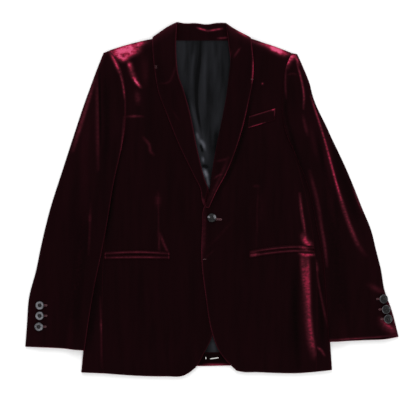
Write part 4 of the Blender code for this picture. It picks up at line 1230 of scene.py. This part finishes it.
def make_tacks(mauve_thread, white_thread):
    """Tacks at the lapel and front edges, and the basting left in the hem."""
    lines = []
    for ends in EDGE_TACKS:
        surface = lapel_top if ends[0][1] > 0 else partial(front_surface, "left")
        lines.append(on_surface(surface, smooth_line(ends, EDGE_TACK_STEPS), 0.0))
    thread_bars("thread_edge_tacks", lines, EDGE_TACK_RADIUS, mauve_thread)
    lift = BASTING_RADIUS / 2
    lines = [on_surface(turn_up_top, smooth_line(ends, BASTING_STEPS), lift) for ends in BASTING_TACKS]
    thread_bars("thread_basting", lines, BASTING_RADIUS, white_thread)


def feed(tree, node, values):
    """Set the sockets of a node, or link them where an output is given."""
    for name, value in values.items():
        if isinstance(value, bpy.types.NodeSocket):
            tree.links.new(value, node.inputs[name])
        else:
            node.inputs[name].default_value = value


def added(tree, kind, values, **settings):
    """The outputs of a new node with its settings and inputs."""
    node = tree.nodes.new(kind)
    for name, value in settings.items():
        setattr(node, name, value)
    feed(tree, node, values)
    return node.outputs


def fine_grain_group():
    """A shared effect: fine uneven grain as a value, and as a bumped normal."""
    group = bpy.data.node_groups.new("fine_grain", "ShaderNodeTree")
    for name, value in GRAIN.items():
        group.interface.new_socket(name, in_out="INPUT", socket_type="NodeSocketFloat").default_value = value
    group.interface.new_socket("Grain", in_out="OUTPUT", socket_type="NodeSocketFloat")
    group.interface.new_socket("Normal", in_out="OUTPUT", socket_type="NodeSocketVector")
    given = added(group, "NodeGroupInput", {})
    noise = {"Vector": added(group, "ShaderNodeTexCoord", {})["Object"]}
    noise.update({name: given[name] for name in ("Scale", "Detail")})
    grain = added(group, "ShaderNodeTexNoise", noise)["Fac"]
    bump = {"Height": grain, "Distance": given["Depth"], "Strength": given["Strength"]}
    normal = added(group, "ShaderNodeBump", bump)["Normal"]
    added(group, "NodeGroupOutput", {"Grain": grain, "Normal": normal})
    return group


class Finish:
    """A Principled material with fine grain, and the few kinds of node that its colour is made with."""

    def __init__(self, name, look, grain_group=None, grain=None):
        self.material = bpy.data.materials.new(name)
        self.material.use_nodes = True
        self.tree = self.material.node_tree
        self.shader = self.tree.nodes["Principled BSDF"]
        feed(self.tree, self.shader, look)
        if grain_group is not None:
            grained = added(self.tree, "ShaderNodeGroup", grain, node_tree=grain_group)
            self.grain = grained["Grain"]
            feed(self.tree, self.shader, {"Normal": grained["Normal"]})

    def math(self, operation, *values, clamp=False):
        """A sum, a product or the like."""
        inputs = dict(enumerate(values))
        return added(self.tree, "ShaderNodeMath", inputs, operation=operation, use_clamp=clamp)["Value"]

    def painted_light_value(self):
        """The painted light kept at each point of a mesh: highlight, shine or shade."""
        return added(self.tree, "ShaderNodeAttribute", {}, attribute_name="painted_light")["Fac"]

    def noise(self, scale, detail, stretch):
        """Soft noise in the jacket's own coordinates."""
        place = added(self.tree, "ShaderNodeTexCoord", {})["Object"]
        stretched = added(self.tree, "ShaderNodeMapping", {"Vector": place, "Scale": stretch})["Vector"]
        inputs = {"Vector": stretched, "Scale": scale, "Detail": detail}
        return added(self.tree, "ShaderNodeTexNoise", inputs)["Fac"]

    def coloured(self, value, shades):
        """The material, with its colour taken from a row of shades."""
        made = self.tree.nodes.new("ShaderNodeValToRGB")
        elements = made.color_ramp.elements
        while len(elements) < len(shades):
            elements.new(0.5)
        for element, (position, colour) in zip(elements, shades):
            element.position = position
            element.color = (*colour, 1.0)
        feed(self.tree, made, {"Fac": value})
        feed(self.tree, self.shader, {"Base Color": made.outputs["Color"]})
        return self.material


def velvet_finish(grain_group):
    """Short cotton velvet, nearly black wine, with painted crimson highlights and painted shade from each
    point's stored value, and a painted sheen where it is seen from the side.
    """
    finish = Finish("wine_velvet", VELVET_LOOK, grain_group, VELVET_GRAIN)
    facing = added(finish.tree, "ShaderNodeLayerWeight", {"Blend": SIDE_SHEEN_BLEND})["Facing"]
    broken = finish.math("MULTIPLY_ADD", finish.noise(*HIGHLIGHT_BREAKUP_NOISE), *HIGHLIGHT_BREAKUP_SHARE)
    uneven = finish.math("MULTIPLY_ADD", finish.noise(*STREAK_NOISE), *STREAK_SHARE)
    speckle = finish.math("MULTIPLY_ADD", finish.grain, *SPECKLE_SHARE)
    lit = finish.math("MULTIPLY", finish.painted_light_value(), broken)
    lit = finish.math("ADD", lit, finish.math("MULTIPLY", facing, SIDE_SHEEN_SHARE))
    lit = finish.math("MULTIPLY", lit, speckle)
    return finish.coloured(finish.math("ADD", lit, uneven, clamp=True), VELVET_SHADE_TO_HIGHLIGHT)


def satin_finish(grain_group):
    """Charcoal satin with a painted soft blue-grey shine, and painted shade, on its creases and strokes."""
    finish = Finish("charcoal_satin", SATIN_LOOK, grain_group, SATIN_GRAIN)
    lit = finish.math("MULTIPLY_ADD", finish.noise(*SATIN_NOISE), *SATIN_SHARE)
    lit = finish.math("ADD", lit, finish.painted_light_value())
    weave = finish.math("MULTIPLY_ADD", finish.grain, *WEAVE_SHARE)
    return finish.coloured(finish.math("ADD", lit, weave, clamp=True), SATIN_SHADE_TO_SHINE)


def horn_finish(grain_group):
    """Dark grey horn effect with pale clouding; its darker well, black holes, shaded rims and gleams are
    painted shade and painted highlights from each point's stored value.
    """
    finish = Finish("grey_horn", HORN_LOOK, grain_group, HORN_GRAIN)
    lit = finish.math("MULTIPLY", finish.noise(*HORN_NOISE), finish.grain)
    lit = finish.math("MULTIPLY", lit, HORN_SHARE)
    return finish.coloured(finish.math("SUBTRACT", lit, finish.painted_light_value(), clamp=True), HORN_SHADES)


def thread_finish(name, colour, grain_group):
    """Twisted sewing thread."""
    finish = Finish(name, THREAD_LOOK, grain_group, THREAD_GRAIN)
    shades = [(position, [share * channel for channel in colour]) for position, share in THREAD_SHADES]
    return finish.coloured(finish.grain, shades)


def make_floor():
    """A plain white floor."""
    bm = bmesh.new()
    bmesh.ops.create_grid(bm, x_segments=1, y_segments=1, size=FLOOR_SIZE / 2)
    with_mesh("floor", bm, Finish("white_floor", FLOOR_LOOK).material)


def make_light():
    """Soft studio light: an even white room and two large lamps, the stronger beyond the collar."""
    world = bpy.data.worlds.new("studio")
    world.use_nodes = True
    feed(world.node_tree, world.node_tree.nodes["Background"], STUDIO)
    bpy.context.scene.world = world
    for name, place, aim, size, power in LAMPS:
        lamp = bpy.data.lights.new(name, "AREA")
        lamp.shape = "DISK"
        lamp.size = size
        lamp.energy = power
        holder = in_scene(name, lamp)
        holder.location = place
        x, y, z = (a - b for a, b in zip(place, aim))
        holder.rotation_euler = (math.atan2(math.hypot(x, y), z), 0.0, math.atan2(y, x) + math.pi / 2)


def make_camera():
    """A camera straight above the jacket."""
    lens = bpy.data.cameras.new("camera")
    lens.lens = CAMERA_LENS
    lens.sensor_width = CAMERA_SENSOR
    camera = in_scene("camera", lens)
    camera.location = (*PICTURE_CENTRE, CLOTH_PLANE + PICTURE_WIDTH * CAMERA_LENS / CAMERA_SENSOR)
    bpy.context.scene.camera = camera


def main():
    """Dress the jacket and set the studio."""
    grain_group = fine_grain_group()
    velvet = velvet_finish(grain_group)
    satin = satin_finish(grain_group)
    horn = horn_finish(grain_group)
    dark_thread, mauve_thread, white_thread = (thread_finish(*row, grain_group) for row in THREADS)
    for side in SIDES:
        for make in (make_front, make_side, make_back, make_lapel, make_sleeve):
            make(side, velvet)
    make_lining(satin)
    make_turn_up(velvet)
    make_collar(velvet)
    make_pockets(velvet)
    make_fastenings(horn, dark_thread, mauve_thread)
    make_tacks(mauve_thread, white_thread)
    make_floor()
    make_light()
    make_camera()
    bpy.context.scene.view_settings.view_transform = "Standard"


main()
